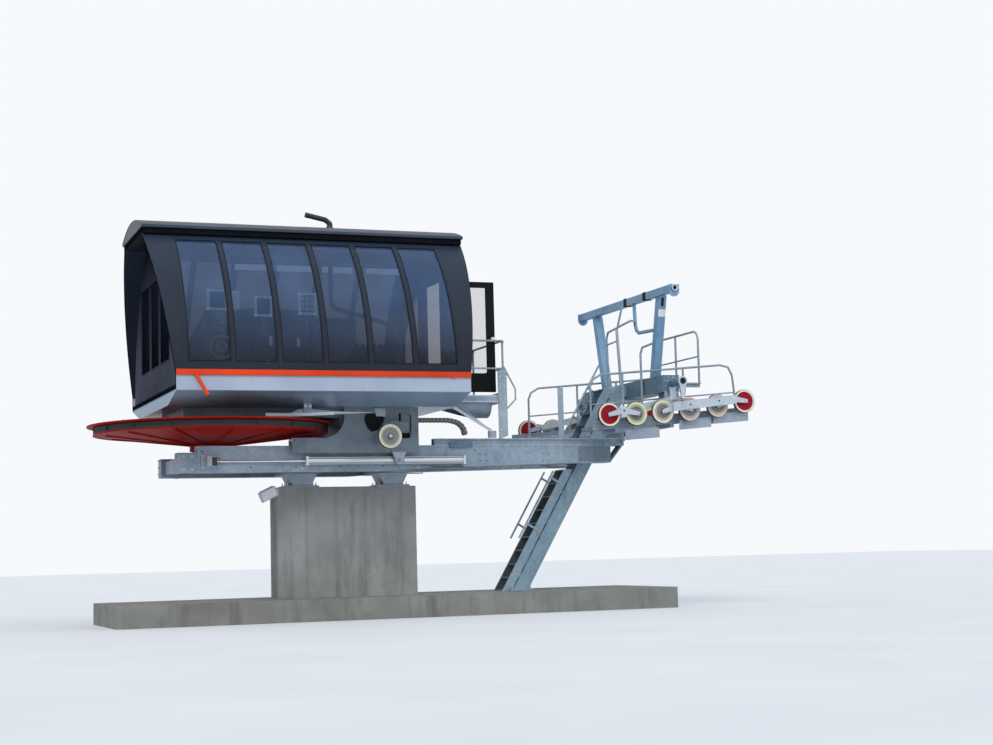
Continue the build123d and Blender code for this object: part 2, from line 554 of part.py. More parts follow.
def bullwheel_liner():
    """The rubber ring in the rim's groove, itself grooved for the rope."""
    low, high, inner = ROPE_Z - 50, ROPE_Z + 50, ROPE_Y - 70
    outline = [(inner, low), (inner + 75, low - 18), (ROPE_Y, ROPE_Z - 12), (ROPE_Y, ROPE_Z + 12),
               (inner + 75, high - 8), (inner, high)]
    face = Plane.XZ * make_face(Polyline(*outline, close=True))
    return Pos(WHEEL_X, 0, 0) * revolve(face, axis=Axis.Z) - bullwheel()


# Housing
def wall_cylinder(side, r):
    """A long cylinder about the middle of a wall's arc, found from the wall's foot and head."""
    dy, dz = WALL_HEAD - WALL_FOOT, WALL_TOP - SKIRT_TOP
    chord = math.hypot(dy, dz)
    rise = math.sqrt(ARC_R ** 2 - (chord / 2) ** 2)
    y = (WALL_FOOT + WALL_HEAD) / 2 - rise * dz / chord
    z = (SKIRT_TOP + WALL_TOP) / 2 + rise * dy / chord
    return Pos(0, side * y, z) * Rot(0, 90, 0) * Cylinder(r, 8000)


def barrel_wall(side, out, thick):
    """A length of the barrel-shaped side, from out to out + thick inside its outer face."""
    shell = wall_cylinder(side, ARC_R - out) - wall_cylinder(side, ARC_R - out - thick)
    return shell & block(-3900, 2900, side * 700, side * 2800, SKIRT_TOP, WALL_TOP)


def end_trim():
    """The housing's side view, whose ends lean out towards the roof."""
    return side_slice([(HOUSE["x0"], SKIRT_TOP), (HOUSE["x1"], SKIRT_TOP), (HOUSE["x1_top"], WALL_TOP),
                       (HOUSE["x0_top"], WALL_TOP)], -2800, 2800)


def pane_boxes(side):
    """The six window openings of one side."""
    boxes = []
    for index in range(PANES):
        x0 = MULLION_X0 + index * MULLION_STEP + MULLION_HALF
        boxes.append(block(x0, x0 + MULLION_STEP - 2 * MULLION_HALF, side * 700, side * 2800, SILL, HEAD))
    return boxes


def side_shell(side):
    wall = barrel_wall(side, 0, WALL) & end_trim()
    for opening in pane_boxes(side):
        wall -= opening
    return wall


def side_glass(side):
    sheet = barrel_wall(side, 14, 14)
    return [sheet & opening for opening in pane_boxes(side)]


def inside_end(x0, x1):
    """An end wall's blank, as wide as the room inside both sides."""
    shape = block(x0, x1, -2800, 2800, FLOOR_TOP, WALL_TOP)
    for side in (-1, 1):
        shape &= wall_cylinder(side, ARC_R - WALL)
    return shape & block(-4000, 3000, -SKIRT_Y + 60, SKIRT_Y - 60, FLOOR_TOP, WALL_TOP)


END_PANES = ((-1500, -560), (-420, 420), (560, 1500))
END_Z = (4700, 6300)


def end_wall_downhill():
    x1 = HOUSE["x0"] + END_IN
    wall = inside_end(x1 - 40, x1)
    for y0, y1 in END_PANES:
        wall -= block(x1 - 50, x1 + 10, y0, y1, *END_Z)
    return wall


def end_glass():
    x1 = HOUSE["x0"] + END_IN
    panes = [block(x1 - 27, x1 - 13, y0, y1, *END_Z) for y0, y1 in END_PANES]
    x0 = HOUSE["x1"] - END_IN
    panes.append(block(x0 + 13, x0 + 27, 400, 1400, 4700, 6300))
    return panes


def end_wall_uphill():
    x0 = HOUSE["x1"] - END_IN
    wall = inside_end(x0, x0 + 40)
    wall -= block(x0 - 10, x0 + 50, DOOR_Y0 + 30, DOOR_Y0 + DOOR_W - 20, FLOOR_TOP + 20, FLOOR_TOP + DOOR_H)
    wall -= block(x0 - 10, x0 + 50, 400, 1400, 4700, 6300)
    hinge_x = door_axis()
    for z in HINGE_Z:
        wall += block(x0 + 35, hinge_x, DOOR_Y0 - 10, DOOR_Y0 + 10, z, z + HINGE_HIGH)
        wall += bar((hinge_x, DOOR_Y0, z), (hinge_x, DOOR_Y0, z + HINGE_HIGH), 14)
    return wall


def housing_floor():
    """The skirt, the sloping pan below it and the floor over both, hollow with a hatch below."""
    lip, skin = WALL + 15, 40
    outline = [(-SKIRT_Y, SKIRT_TOP), (-SKIRT_Y, SKIRT_LOW), (-PAN_Y, DECK_TOP), (PAN_Y, DECK_TOP),
               (SKIRT_Y, SKIRT_LOW), (SKIRT_Y, SKIRT_TOP), (SKIRT_Y - lip, SKIRT_TOP), (SKIRT_Y - lip, FLOOR_TOP),
               (-SKIRT_Y + lip, FLOOR_TOP), (-SKIRT_Y + lip, SKIRT_TOP)]
    under = FLOOR_TOP - skin
    void = [(-SKIRT_Y + 2 * lip, under), (-PAN_Y, DECK_TOP + skin), (PAN_Y, DECK_TOP + skin), (SKIRT_Y - 2 * lip, under)]
    shape = end_slice(outline, HOUSE["x0"], HOUSE["x1"]) - end_slice(void, HOUSE["x0"] + skin, HOUSE["x1"] - skin)
    hatch_x = WHEEL_X + 500
    return shape - block(hatch_x, hatch_x + 1200, -500, 500, DECK_TOP - 10, DECK_TOP + skin + 10)


def roof_body(inset):
    """The fascia and the crown that oversails it, taken in all round by the inset."""
    half, top = ROOF["half"] - inset, ROOF["top"] - inset
    x0, x1 = ROOF["x0"] + inset, ROOF["x1"] - inset
    low, edge_low = WALL_TOP + inset, WALL_TOP + FASCIA
    edge_top = edge_low + DRIP - inset / 2
    edges = [Line((-half, edge_low), (half, edge_low)), Line((half, edge_low), (half, edge_top)),
             ThreePointArc((half, edge_top), (0, top), (-half, edge_top)), Line((-half, edge_top), (-half, edge_low))]
    crown = Pos(x0, 0, 0) * extrude(Plane.YZ * make_face(Wire(edges)), amount=x1 - x0)
    fascia = block(x0 + FASCIA_IN, x1 - FASCIA_IN, -half + FASCIA_IN, half - FASCIA_IN, low, edge_low + 1)
    return crown + fascia


def housing_roof():
    """A sheet shell, closed below by a ceiling with a long opening in it."""
    shell = roof_body(0) - roof_body(ROOF_SHEET)
    return shell - block(HOUSE["x0"] + 500, HOUSE["x1"] - 500, -600, 600, WALL_TOP - 10, WALL_TOP + ROOF_SHEET + 10)


def gutter():
    """The orange strip under the glass, with its spout."""
    strip = block(HOUSE["x0"], HOUSE["x1"], -SKIRT_Y - 30, -SKIRT_Y, SKIRT_TOP, SKIRT_TOP + 100)
    strip &= block(-9000, 9000, -9000, 0, 0, 9000)
    spout = bar((-2970, -SKIRT_Y - 35, SKIRT_TOP + 10), (-2790, -SKIRT_Y - 165, SKIRT_TOP - 370), 32)
    return strip + spout


def exhaust():
    x, top = 100, ROOF["top"]
    tube = pipe([(x, 0, top - 20), (x, 0, top + 135), (x - 90, 0, top + 205), (x - 480, 0, top + 285)], 50)
    return tube - roof_body(0)


# Door and landing
def door_axis():
    return HOUSE["x1"] - END_IN + 120


def door():
    x0 = door_axis()
    y0, y1 = DOOR_Y0 - DOOR_T / 2, DOOR_Y0 + DOOR_T / 2
    z0, z1 = FLOOR_TOP + 30, FLOOR_TOP + DOOR_H
    leaf = block(x0 + 20, x0 + DOOR_W, y0, y1, z0, z1)
    leaf -= block(x0 + STILE, x0 + DOOR_W - STILE, y0 - 5, y1 + 5, z0 + LOW_RAIL, z1 - TOP_RAIL)
    for z in HINGE_Z:
        low = z + HINGE_HIGH + RUN
        leaf += block(x0, x0 + 25, DOOR_Y0 - 8, DOOR_Y0 + 8, low, low + HINGE_HIGH)
        leaf += bar((x0, DOOR_Y0, low), (x0, DOOR_Y0, low + HINGE_HIGH), 14)
    handle_x, handle_z = x0 + DOOR_W - 60, z0 + 1010
    leaf += block(handle_x - 10, handle_x + 10, y0 - 60, y0, handle_z - 10, handle_z + 10)
    leaf += block(handle_x - 120, handle_x + 10, y0 - 60, y0 - 40, handle_z - 12, handle_z + 12)
    return leaf


def door_glass():
    x0 = door_axis()
    z0, z1 = FLOOR_TOP + 30, FLOOR_TOP + DOOR_H
    return block(x0 + STILE, x0 + DOOR_W - STILE, DOOR_Y0 - 6, DOOR_Y0 + 6, z0 + LOW_RAIL, z1 - TOP_RAIL)


def landing():
    """The platform outside the door, its rails, its leg by the beam, a strut and a rounded tray."""
    x0, x1, y0, y1, low = HOUSE["x1"], LANDING["x1"], LANDING["y0"], LANDING["y1"], LANDING["low"]
    shape = block(x0, x1, y0, y1, low, LANDING["top"])
    face = y0 - 12
    shape += side_slice([(x1 - 140, 3290), (x1 + 40, 3350), (x1 + 40, 4600), (x1 - 140, 4600)], face - 8, y0)
    r, top, mid = 20, 5170, 4640
    corner = [(x1 - 20, y0 + 20), (x1 - 20, y1 - 20)]
    shape += pipe([(x0 + 70, y0 + 20, top), (*corner[0], top), (*corner[1], top)], r)
    shape += pipe([(x0 + 70, y0 + 20, mid), (*corner[0], mid), (*corner[1], mid)], 16)
    for x, y in corner + [(x0 + 70, y0 + 20)]:
        shape += bar((x, y, low + 20), (x, y, top), r)
    shape += bar((x0 + 90, y0 + 40, low + 20), (x1 - 250, y0 + 60, 3420), 16)
    shape += block(x1 - 320, x1 - 180, y0 + 30, y0 + 120, 3320, 3450)
    shape += pipe([(x1 - 20, y0 + 10, 4700), (x1 + 220, y0 + 10, 4250), (x1 + 220, y0 + 10, 4050), (x1 + 20, y0 + 5, 3850)], 16)
    y, tray_r, end = TRAY["y"], TRAY["r"], x1 - 210
    tray = bar((x0, y, low), (end, y, low), tray_r) - bar((x0 - 10, y, low), (end - TRAY["sheet"], y, low), tray_r - TRAY["sheet"])
    deep = low - tray_r - 10
    return shape + (tray & side_slice([(x0, low), (x0, low - 90), (end - 250, deep), (end, deep), (end, low)], -1500, 0))


def drag_chain():
    """The cable chain from the carriage, looped down to just over the rail."""
    y = -PLATE_IN + 60
    path = [(PLATE_X1 - 60, y, 3640), (2000, y, 3640), (2180, y, 3600), (2290, y, 3500), (2320, y, 3370)]
    shape = None
    for a, b in zip(path, path[1:]):
        piece = link((a[0], a[2]), (b[0], b[2]), 90, y - 60, y + 60)
        shape = piece if shape is None else shape + piece
    return shape


def scraper():
    """The long guard blade over the near rim, hung under the pan."""
    blade = link((-1560, 3740), (390, 3745), 60, -1700, -1680)
    hanger = block(-860, -740, -1720, -1640, 3740, 3925)
    return (blade + hanger) - housing_floor()


# Machinery seen through the glass
def gearbox():
    z = FLOOR_TOP
    shape = bar((WHEEL_X, 0, z), (WHEEL_X, 0, z + 520), 520)
    shape += bar((WHEEL_X, 0, z + 520), (WHEEL_X, 0, z + 700), 380)
    shape += block(WHEEL_X + 200, WHEEL_X + 900, -260, 260, z + 140, z + 660)
    return shape


def drive_motor():
    z = FLOOR_TOP + 400
    x0 = WHEEL_X + 900
    shape = bar((x0, 0, z), (x0 + 180, 0, z), 130) + bar((x0 + 180, 0, z), (x0 + 1180, 0, z), 330)
    shape += bar((x0 + 1180, 0, z), (x0 + 1330, 0, z), 240)
    shape += block(x0 + 300, x0 + 1060, -300, 300, FLOOR_TOP, FLOOR_TOP + 110)
    shape += block(x0 + 420, x0 + 940, -200, 200, z + 300, z + 500)
    return shape


def engine():
    x0 = 460
    shape = block(x0, x0 + 900, -330, 330, FLOOR_TOP + 120, FLOOR_TOP + 800)
    shape += block(x0 + 80, x0 + 820, -180, 180, FLOOR_TOP + 800, FLOOR_TOP + 980)
    for y in (-300, 240):
        shape += block(x0 - 60, x0 + 960, y, y + 60, FLOOR_TOP, FLOOR_TOP + 120)
    return shape


def cabinets():
    """Switch cabinets along the far wall, and the control desk by the near windows."""
    rows = [(-1450, 700, 1850), (-700, 700, 1850), (50, 900, 1700)]
    shapes = [block(x, x + wide, 1250, 1650, FLOOR_TOP, FLOOR_TOP + high) for x, wide, high in rows]
    x, y = HOUSE["x0"] + 420, -1450
    desk = block(x, x + 620, y, y + 420, FLOOR_TOP, FLOOR_TOP + 860)
    desk += side_slice([(x, FLOOR_TOP + 860), (x + 620, FLOOR_TOP + 860), (x + 620, FLOOR_TOP + 1560), (x + 420, FLOOR_TOP + 1560)],
                       y + 60, y + 360)
    return shapes + [desk]


def floodlight():
    """The lamp box on its bracket at the pier's corner."""
    x, y, z = PIER["x0"], -PIER["half"], PIER["top"]
    box = Pos(x - 190, y - 90, z - 130) * Rot(0, -25, 0) * Box(320, 150, 190)
    arm = block(x - 190, x + 10, y - 60, y - 20, z - 70, z - 30) + block(x - 20, x + 20, y - 60, y, z - 110, z - 10)
    return (box + arm) - pier()


save("foundation_slab", slab())
save("concrete_pier", pier())
save("pier_pedestals", *[pedestal(x) for x in PEDESTALS])
save("main_beam_near", main_beam() + guide_post())
save("main_beam_far", mirror(main_beam(), about=Plane.XZ))
save("cross_members", *cross_members())
save("support_leg", leg())
save("leg_ladder", ladder(), upper_stair())
save("crossarm", crossarm())
save("lifting_frame", lifting_frame())
save("tension_rods", *both(tension_rod))
save("floodlight", floodlight())
save("service_platform", service_platform(), arm_rail())
for where, side in (("near", -1), ("far", 1)):
    save(f"catwalk_{where}", catwalk(side))
    save(f"sheave_arms_{where}", sheave_arms(side))
    save(f"rope_catchers_{where}", *rope_catchers(side))
    for index, (x, z) in enumerate(train_points(side), 1):
        save(f"sheave_{where}_{index}", sheave(x, z, SHEAVE_R, side))
    save(f"idler_{where}", sheave(IDLER_X, IDLER_Z, IDLER_R, side))
    save(f"side_shell_{where}", side_shell(side))
    save(f"side_glass_{where}", *side_glass(side))
save("carriage_frame", carriage_frame())
save("cylinder_barrels", *both(barrel))
save("bullwheel", bullwheel())
save("bullwheel_liner", bullwheel_liner())
save("housing_floor", housing_floor())
save("housing_roof", housing_roof())
save("end_wall_downhill", end_wall_downhill())
save("end_wall_uphill", end_wall_uphill())
save("end_glass", *end_glass())
save("gutters", *both(gutter))
save("exhaust_pipe", exhaust())
save("door_leaf", door())
save("door_glass", door_glass())
save("landing", landing())
save("drag_chain", drag_chain())
save("guard_blade", scraper())
save("gearbox", gearbox())
save("drive_motor", drive_motor())
save("backup_engine", engine())
save("switch_cabinets", *cabinets())
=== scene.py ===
import math
import bmesh
import bpy
from mathutils import Matrix, Vector


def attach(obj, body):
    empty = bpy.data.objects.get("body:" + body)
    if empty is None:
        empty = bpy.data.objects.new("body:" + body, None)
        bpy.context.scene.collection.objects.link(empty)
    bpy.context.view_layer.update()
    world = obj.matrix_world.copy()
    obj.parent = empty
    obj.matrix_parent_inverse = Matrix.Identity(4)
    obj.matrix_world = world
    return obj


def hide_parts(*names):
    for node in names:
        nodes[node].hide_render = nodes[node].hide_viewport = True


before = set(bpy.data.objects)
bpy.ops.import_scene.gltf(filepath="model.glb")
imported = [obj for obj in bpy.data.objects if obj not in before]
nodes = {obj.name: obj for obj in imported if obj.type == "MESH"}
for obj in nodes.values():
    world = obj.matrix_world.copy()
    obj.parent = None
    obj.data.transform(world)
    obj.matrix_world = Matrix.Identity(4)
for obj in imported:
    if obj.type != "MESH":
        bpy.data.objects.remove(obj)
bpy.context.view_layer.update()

# Places shared by several pieces, in metres
ROPE_Y, ROPE_Z, WHEEL_X = 2.14, 3.54, -2.23
BEAM_IN, BEAM_OUT, BEAM_TOP, SPLICE_X = 0.84, 1.14, 3.18, 4.67
BEAM_LOW = ((-2.69, 2.706), (0.67, 2.706), (1.71, 2.772), (4.65, 2.83), (5.35, 2.835))
WALL_RADIUS, WALL_MIDDLE = 3.71, (-1.3423, 4.1412)
SKIRT_Y, SKIRT_LOW, SKIRT_TOP, WALL_TOP, FLOOR = 2.37, 4.07, 4.33, 7.02, 4.17
SILL, HEAD = 4.58, 6.90
PANES = [(-3.085 + 0.833 * index, -2.352 + 0.833 * index) for index in range(6)]
HOUSE_X, HOUSE_TOP_X, END_WALLS = (-3.305, 2.06), (-3.66, 2.40), (-3.225, 1.98)
ARM_X, ARM_Z, LIFT_Z = 6.31, 4.305, 6.13
SHEAVES = ((4.89, 3.68), (5.45, 3.70), (6.01, 3.74), (6.58, 3.785), (7.18, 3.86), (7.77, 3.95))
SHEAVE_RADIUS, IDLER_RADIUS, IDLER_X, IDLER_Z = 0.226, 0.22, 0.57, 3.28
CHEEK_OUT, CHAIN_Y, DOOR_AXIS = 1.32, -1.23, (2.10, -0.98)
TRUNNION_X, FORK_X, CYLINDER_Y, CYLINDER_Z = 0.985, -2.435, 1.235, 2.895
LEG_Y, STRINGER_Y = 0.25, 0.23
FASCIA_LINE = 7.113
FAR_SHIFT, WALK_SHIFT = 0.06, -0.17
SIDES = (("near", -1), ("far", 1))

# Directions; where a piece is made for one side, OUT is away from the middle
OUT, NEAR, UP, DOWN = (0, 1, 0), (0, -1, 0), (0, 0, 1), (0, 0, -1)
UPHILL, DOWNHILL = (1, 0, 0), (-1, 0, 0)


# --- Shader groups and materials ---

def add(tree, kind, inputs=None, **settings):
    """A node with its settings and inputs; an input is a value or another node's output."""
    node = tree.nodes.new(kind)
    for name, value in settings.items():
        setattr(node, name, value)
    for name, value in (inputs or {}).items():
        if isinstance(value, bpy.types.NodeSocket):
            tree.links.new(value, node.inputs[name])
        else:
            node.inputs[name].default_value = value
    return node


def math_node(tree, operation, a, b=0.0, clamp=False):
    return add(tree, "ShaderNodeMath", {0: a, 1: b}, operation=operation, use_clamp=clamp).outputs[0]


def multiply(tree, a, b, clamp=False):
    return math_node(tree, "MULTIPLY", a, b, clamp)


def distance(tree, value, middle):
    """How far a value is from the middle, either way."""
    return math_node(tree, "ABSOLUTE", math_node(tree, "SUBTRACT", value, middle))


def blend_colour(tree, factor, a, b):
    return add(tree, "ShaderNodeMix", {0: factor, 6: a, 7: b}, data_type="RGBA").outputs[2]


def blend_value(tree, factor, a, b):
    return add(tree, "ShaderNodeMix", {0: factor, 2: a, 3: b}, data_type="FLOAT").outputs[0]


def spread(tree, value, low, high, out_low=0.0, out_high=1.0):
    """A value's range, stretched to another."""
    return add(tree, "ShaderNodeMapRange", {0: value, 1: low, 2: high, 3: out_low, 4: out_high}).outputs[0]


def noise(tree, where, scale, detail, rough=0.55):
    inputs = {"Vector": where, "Scale": scale, "Detail": detail, "Roughness": rough}
    return add(tree, "ShaderNodeTexNoise", inputs).outputs["Fac"]


def clouds(tree, where, scale, detail=4.0, rough=0.6, low=0.35, high=0.7):
    """Soft patches, from none to full."""
    return spread(tree, noise(tree, where, scale, detail, rough), low, high)


def object_place(tree, stretch=None):
    """The object's own coordinates; a small stretch draws a pattern out along that axis."""
    where = add(tree, "ShaderNodeTexCoord").outputs["Object"]
    return add(tree, "ShaderNodeMapping", {"Vector": where, "Scale": stretch}).outputs[0] if stretch else where


def split(tree, vector):
    """A vector's x, y and z."""
    return add(tree, "ShaderNodeSeparateXYZ", {0: vector}).outputs


def surface_normal(tree):
    return add(tree, "ShaderNodeNewGeometry").outputs["Normal"]


def new_group(name, inputs, outputs):
    """A shader group with plain number sockets: the group, what it is given and what it returns."""
    group = bpy.data.node_groups.new(name, "ShaderNodeTree")
    for label, default in inputs:
        socket = group.interface.new_socket(label, in_out="INPUT", socket_type="NodeSocketFloat")
        socket.default_value = default
    for label in outputs:
        group.interface.new_socket(label, in_out="OUTPUT", socket_type="NodeSocketFloat")
    return group, group.nodes.new("NodeGroupInput").outputs, group.nodes.new("NodeGroupOutput").inputs


def make_edge_wear():
    """Bare along edges, broken up by noise."""
    group, given, result = new_group("edge_wear", [("Width", 0.01), ("Scale", 12.0), ("Amount", 1.0)], ["Mask"])
    rounded = add(group, "ShaderNodeBevel", {"Radius": given["Width"]}, samples=4).outputs[0]
    both = {0: rounded, 1: surface_normal(group)}
    dot = add(group, "ShaderNodeVectorMath", both, operation="DOT_PRODUCT").outputs["Value"]
    edge = spread(group, dot, 0.995, 0.86)
    patches = clouds(group, object_place(group), given["Scale"], 4.0, 0.7, 0.42, 0.6)
    mask = multiply(group, multiply(group, edge, patches), given["Amount"], clamp=True)
    group.links.new(mask, result["Mask"])
    return group


def make_spangle():
    """The crystal patches of hot-dip zinc, with cloudy drifts over them."""
    group, given, result = new_group("zinc_spangle", [("Scale", 9.0), ("Drift", 0.9)], ["Tone", "Fine"])
    where = object_place(group)
    shake = add(group, "ShaderNodeTexNoise", {"Vector": where, "Scale": 6.0}).outputs["Color"]
    warp = add(group, "ShaderNodeVectorMath", {0: where, 1: shake}, operation="ADD").outputs[0]
    cells = add(group, "ShaderNodeTexVoronoi", {"Vector": warp, "Scale": given["Scale"]}).outputs["Color"]
    cell = add(group, "ShaderNodeSeparateColor", {0: cells}).outputs[0]
    drift = clouds(group, where, given["Drift"], 5.0, 0.6, 0.3, 0.72)
    group.links.new(blend_value(group, 0.72, cell, drift), result["Tone"])
    group.links.new(noise(group, where, 90.0, 2.0), result["Fine"])
    return group


def make_grime():
    """Run marks down the faces, and dust that settles on what looks up."""
    group, given, result = new_group("grime", [("Runs", 5.0), ("Dust", 0.5), ("Amount", 0.5)], ["Mask"])
    runs = clouds(group, object_place(group, (1, 1, 0.09)), given["Runs"], 5.0, 0.65, 0.5, 0.74)
    patches = clouds(group, object_place(group), 1.7, 4.0, 0.55, 0.42, 0.66)
    upward = split(group, surface_normal(group))[2]
    dust = multiply(group, spread(group, upward, 0.6, 0.95), given["Dust"])
    both = math_node(group, "ADD", multiply(group, runs, patches), dust)
    group.links.new(multiply(group, both, given["Amount"], clamp=True), result["Mask"])
    return group


edge_wear, zinc_spangle, grime = make_edge_wear(), make_spangle(), make_grime()


def place_group(tree, group, **inputs):
    """A shader group in a material; what isn't given keeps the group's own value."""
    node = tree.nodes.new("ShaderNodeGroup")
    node.node_tree = group
    for name, value in inputs.items():
        node.inputs[name].default_value = value
    return node.outputs


def new_finish(name, **sockets):
    """An empty material with its principled shader's plain sockets set."""
    material = bpy.data.materials.new(name)
    material.use_nodes = True
    tree = material.node_tree
    shader = tree.nodes["Principled BSDF"]
    for label, value in sockets.items():
        shader.inputs[label.replace("_", " ")].default_value = value
    return material, tree, shader


def feed(tree, shader, **sockets):
    """Links the shader's sockets to what is given for them."""
    for label, value in sockets.items():
        tree.links.new(value, shader.inputs[label.replace("_", " ")])


def colour(rgb, share=1.0, lift=0.0):
    """A colour, made darker or lighter by a share."""
    return (*(min(1.0, share * value + lift) for value in rgb), 1.0)


def bump(tree, shader, height, strength, deep):
    """A rough surface, as deep as that in metres."""
    node = add(tree, "ShaderNodeBump", {"Height": height, "Strength": strength, "Distance": deep})
    feed(tree, shader, Normal=node.outputs[0])


def soil(tree, base, stain, runs, dust, amount):
    """Grime on a base colour; the grime's mask goes with it."""
    dirt = place_group(tree, grime, Runs=runs, Dust=dust, Amount=amount)["Mask"]
    return blend_colour(tree, dirt, base, stain), dirt


def bare_edges(tree, base, under, width, scale, amount):
    """What lies under a base colour, shown along the edges."""
    worn = place_group(tree, edge_wear, Width=width, Scale=scale, Amount=amount)["Mask"]
    return blend_colour(tree, worn, base, under)


def zinc(name, light, dark, metallic=0.45, runs=0.55, stain=None, bare=None, over=None):
    """Galvanised steel: spangle, drifts, runs and dull edges; over may lay something on the base colour."""
    material, tree, shader = new_finish(name, Metallic=metallic)
    spangle = place_group(tree, zinc_spangle)
    base = blend_colour(tree, spangle["Tone"], colour(dark), colour(light))
    if over:
        base = over(tree, base)
    base, _ = soil(tree, base, stain or colour(dark, 0.45), 6.0, 0.35, runs)
    base = bare_edges(tree, base, bare or colour(light, 1.35), 0.012, 9.0, 0.7)
    feed(tree, shader, Base_Color=base, Roughness=spread(tree, spangle["Tone"], 0.0, 1.0, 0.62, 0.44))
    bump(tree, shader, spangle["Fine"], 0.25, 0.0012)
    return material


def splice_end_shade(tree, base):
    """Painted shade on the beam's uphill end, past the splice and below the flange, where the web sits in shade."""
    place = split(tree, object_place(tree))
    below_flange = math_node(tree, "LESS_THAN", place[2], BEAM_TOP - 0.022)
    beyond = multiply(tree, math_node(tree, "GREATER_THAN", place[0], SPLICE_X), below_flange)
    return blend_colour(tree, multiply(tree, beyond, 0.55), base, colour((0.10, 0.13, 0.17)))


def paint(name, body, roughness, runs, chips, primer=(0.09, 0.07, 0.06), shine=0.5, sky=None, drift=0.8):
    """Paint with an orange-peel skin, faded drifts, run marks and chipped edges; sky is a painted tone that it fades to
    near the roof.
    """
    material, tree, shader = new_finish(name, Specular_IOR_Level=shine)
    where = object_place(tree)
    base = blend_colour(tree, clouds(tree, where, drift), colour(body, 0.8), colour(body, 1.15))
    # Painted light by height: a painted sky reflection on the housing's sides, painted shade under the roof on the end
    # walls.
    if sky:
        base = blend_colour(tree, spread(tree, split(tree, where)[2], 4.9, 7.0), base, colour(sky))
    base, dirt = soil(tree, base, colour(body, 0.55, 0.006), 7.0, 0.5, runs)
    base = bare_edges(tree, base, colour(primer), 0.008, 16.0, chips)
    feed(tree, shader, Base_Color=base, Roughness=blend_value(tree, dirt, roughness, min(1.0, roughness + 0.3)))
    bump(tree, shader, noise(tree, where, 160.0, 2.0), 0.15, 0.0006)
    return material


def rubber(name, body, roughness=0.75, shine=0.5):
    """Scuffed, dusty rubber."""
    material, tree, shader = new_finish(name, Specular_IOR_Level=shine)
    where = object_place(tree)
    scuffs = clouds(tree, where, 38.0, 5.0, 0.7, 0.48, 0.7)
    base = blend_colour(tree, scuffs, colour(body), colour(body, 1.3, 0.010))
    base, _ = soil(tree, base, colour(body, 0.45), 9.0, 0.4, 0.5)
    feed(tree, shader, Base_Color=base, Roughness=spread(tree, scuffs, 0.0, 1.0, roughness, roughness + 0.15))
    bump(tree, shader, noise(tree, where, 220.0, 3.0), 0.3, 0.0008)
    return material


def tinted_glass(name, body, alpha, downhill_alpha=None, shine=0.35, foot=0.11):
    """Dark glass that lets part of the room through, with a painted reflection that darkens it towards the sill, and
    faint dust and drips.
    """
    material, tree, shader = new_finish(name, Alpha=alpha, IOR=1.5, Roughness=0.05, Specular_IOR_Level=shine)
    place = split(tree, object_place(tree))
    haze = clouds(tree, object_place(tree, (1, 1, 0.35)), 1.3, 5.0)
    base = blend_colour(tree, haze, colour(body, 0.8), colour(body, 1.25))
    # Painted reflection: the colour falls to a share foot of the body towards the sill.
    base = blend_colour(tree, spread(tree, place[2], 4.6, 5.9), colour(body, foot), base)
    base, _ = soil(tree, base, colour(body, 1.6, 0.008), 16.0, 0.3, 0.22)
    feed(tree, shader, Base_Color=base)
    if downhill_alpha:
        feed(tree, shader, Alpha=spread(tree, place[0], -0.5, 0.5, downhill_alpha, alpha))
    return material


def concrete(name, light, dark, joints):
    """Board-cast concrete: cloudy tones, pores, run stains and the joints between the form panels."""
    material, tree, shader = new_finish(name, Roughness=0.88)
    where = object_place(tree)
    grains = noise(tree, where, 70.0, 4.0, 0.7)
    base = blend_colour(tree, clouds(tree, where, 1.1, 6.0, 0.62, 0.32, 0.68), colour(dark), colour(light))
    base = blend_colour(tree, spread(tree, grains, 0.35, 0.7, 0.0, 0.35), base, colour(light, 1.2))
    stains = clouds(tree, object_place(tree, (1, 1, 0.16)), 2.4, 6.0, 0.7, 0.52, 0.72)
    base = blend_colour(tree, multiply(tree, stains, 0.6), base, colour(dark, 0.5))
    pores = add(tree, "ShaderNodeTexVoronoi", {"Vector": where, "Scale": 26.0}).outputs["Distance"]
    pores = spread(tree, pores, 0.05, 0.11, 1.0, 0.0)
    pores = multiply(tree, pores, clouds(tree, where, 7.0, 3.0, 0.55, 0.5, 0.6))
    base = blend_colour(tree, multiply(tree, pores, 0.7), base, colour((0.05, 0.05, 0.045)))
    across, lines = split(tree, where)[0], 0.0
    for x in joints:
        line = spread(tree, distance(tree, across, x), 0.0, 0.05, 1.0, 0.0)
        lines = math_node(tree, "MAXIMUM", line, lines)
    base = blend_colour(tree, multiply(tree, lines, 0.3), base, colour(dark, 0.75))
    feed(tree, shader, Base_Color=base)
    sunk = math_node(tree, "ADD", multiply(tree, pores, 2.0), multiply(tree, lines, 0.2))
    bump(tree, shader, math_node(tree, "SUBTRACT", grains, sunk), 0.5, 0.004)
    return material


def scratches(tree):
    """Fine lines along x."""
    return noise(tree, object_place(tree, (0.2, 1, 1)), 120.0, 3.0, 0.7)


def bright_metal(name, body, roughness):
    """Bare metal with fine scratches along it."""
    material, tree, shader = new_finish(name, Metallic=0.92)
    lines = scratches(tree)
    feed(tree, shader, Base_Color=blend_colour(tree, lines, colour(body, 0.8), colour(body)),
         Roughness=spread(tree, lines, 0.2, 0.8, roughness * 0.7, roughness * 1.4))
    return material


def glowing_cover(name, glow):
    """A ribbed milky cover that gives off light: the strip lamps' covers, and painted glow on panel frames, dials and
    small boxes.
    """
    material, tree, shader = new_finish(name, Roughness=0.35, Emission_Strength=glow)
    waves = {"Vector": object_place(tree), "Scale": 14.0, "Distortion": 0.3}
    ribs = add(tree, "ShaderNodeTexWave", waves, bands_direction="X").outputs["Fac"]
    feed(tree, shader, Base_Color=blend_colour(tree, ribs, colour((0.50, 0.60, 0.74)), colour((0.66, 0.76, 0.90))),
         Emission_Color=blend_colour(tree, ribs, colour((0.45, 0.58, 0.85)), colour((0.62, 0.75, 1.0))))
    bump(tree, shader, ribs, 0.4, 0.002)
    return material


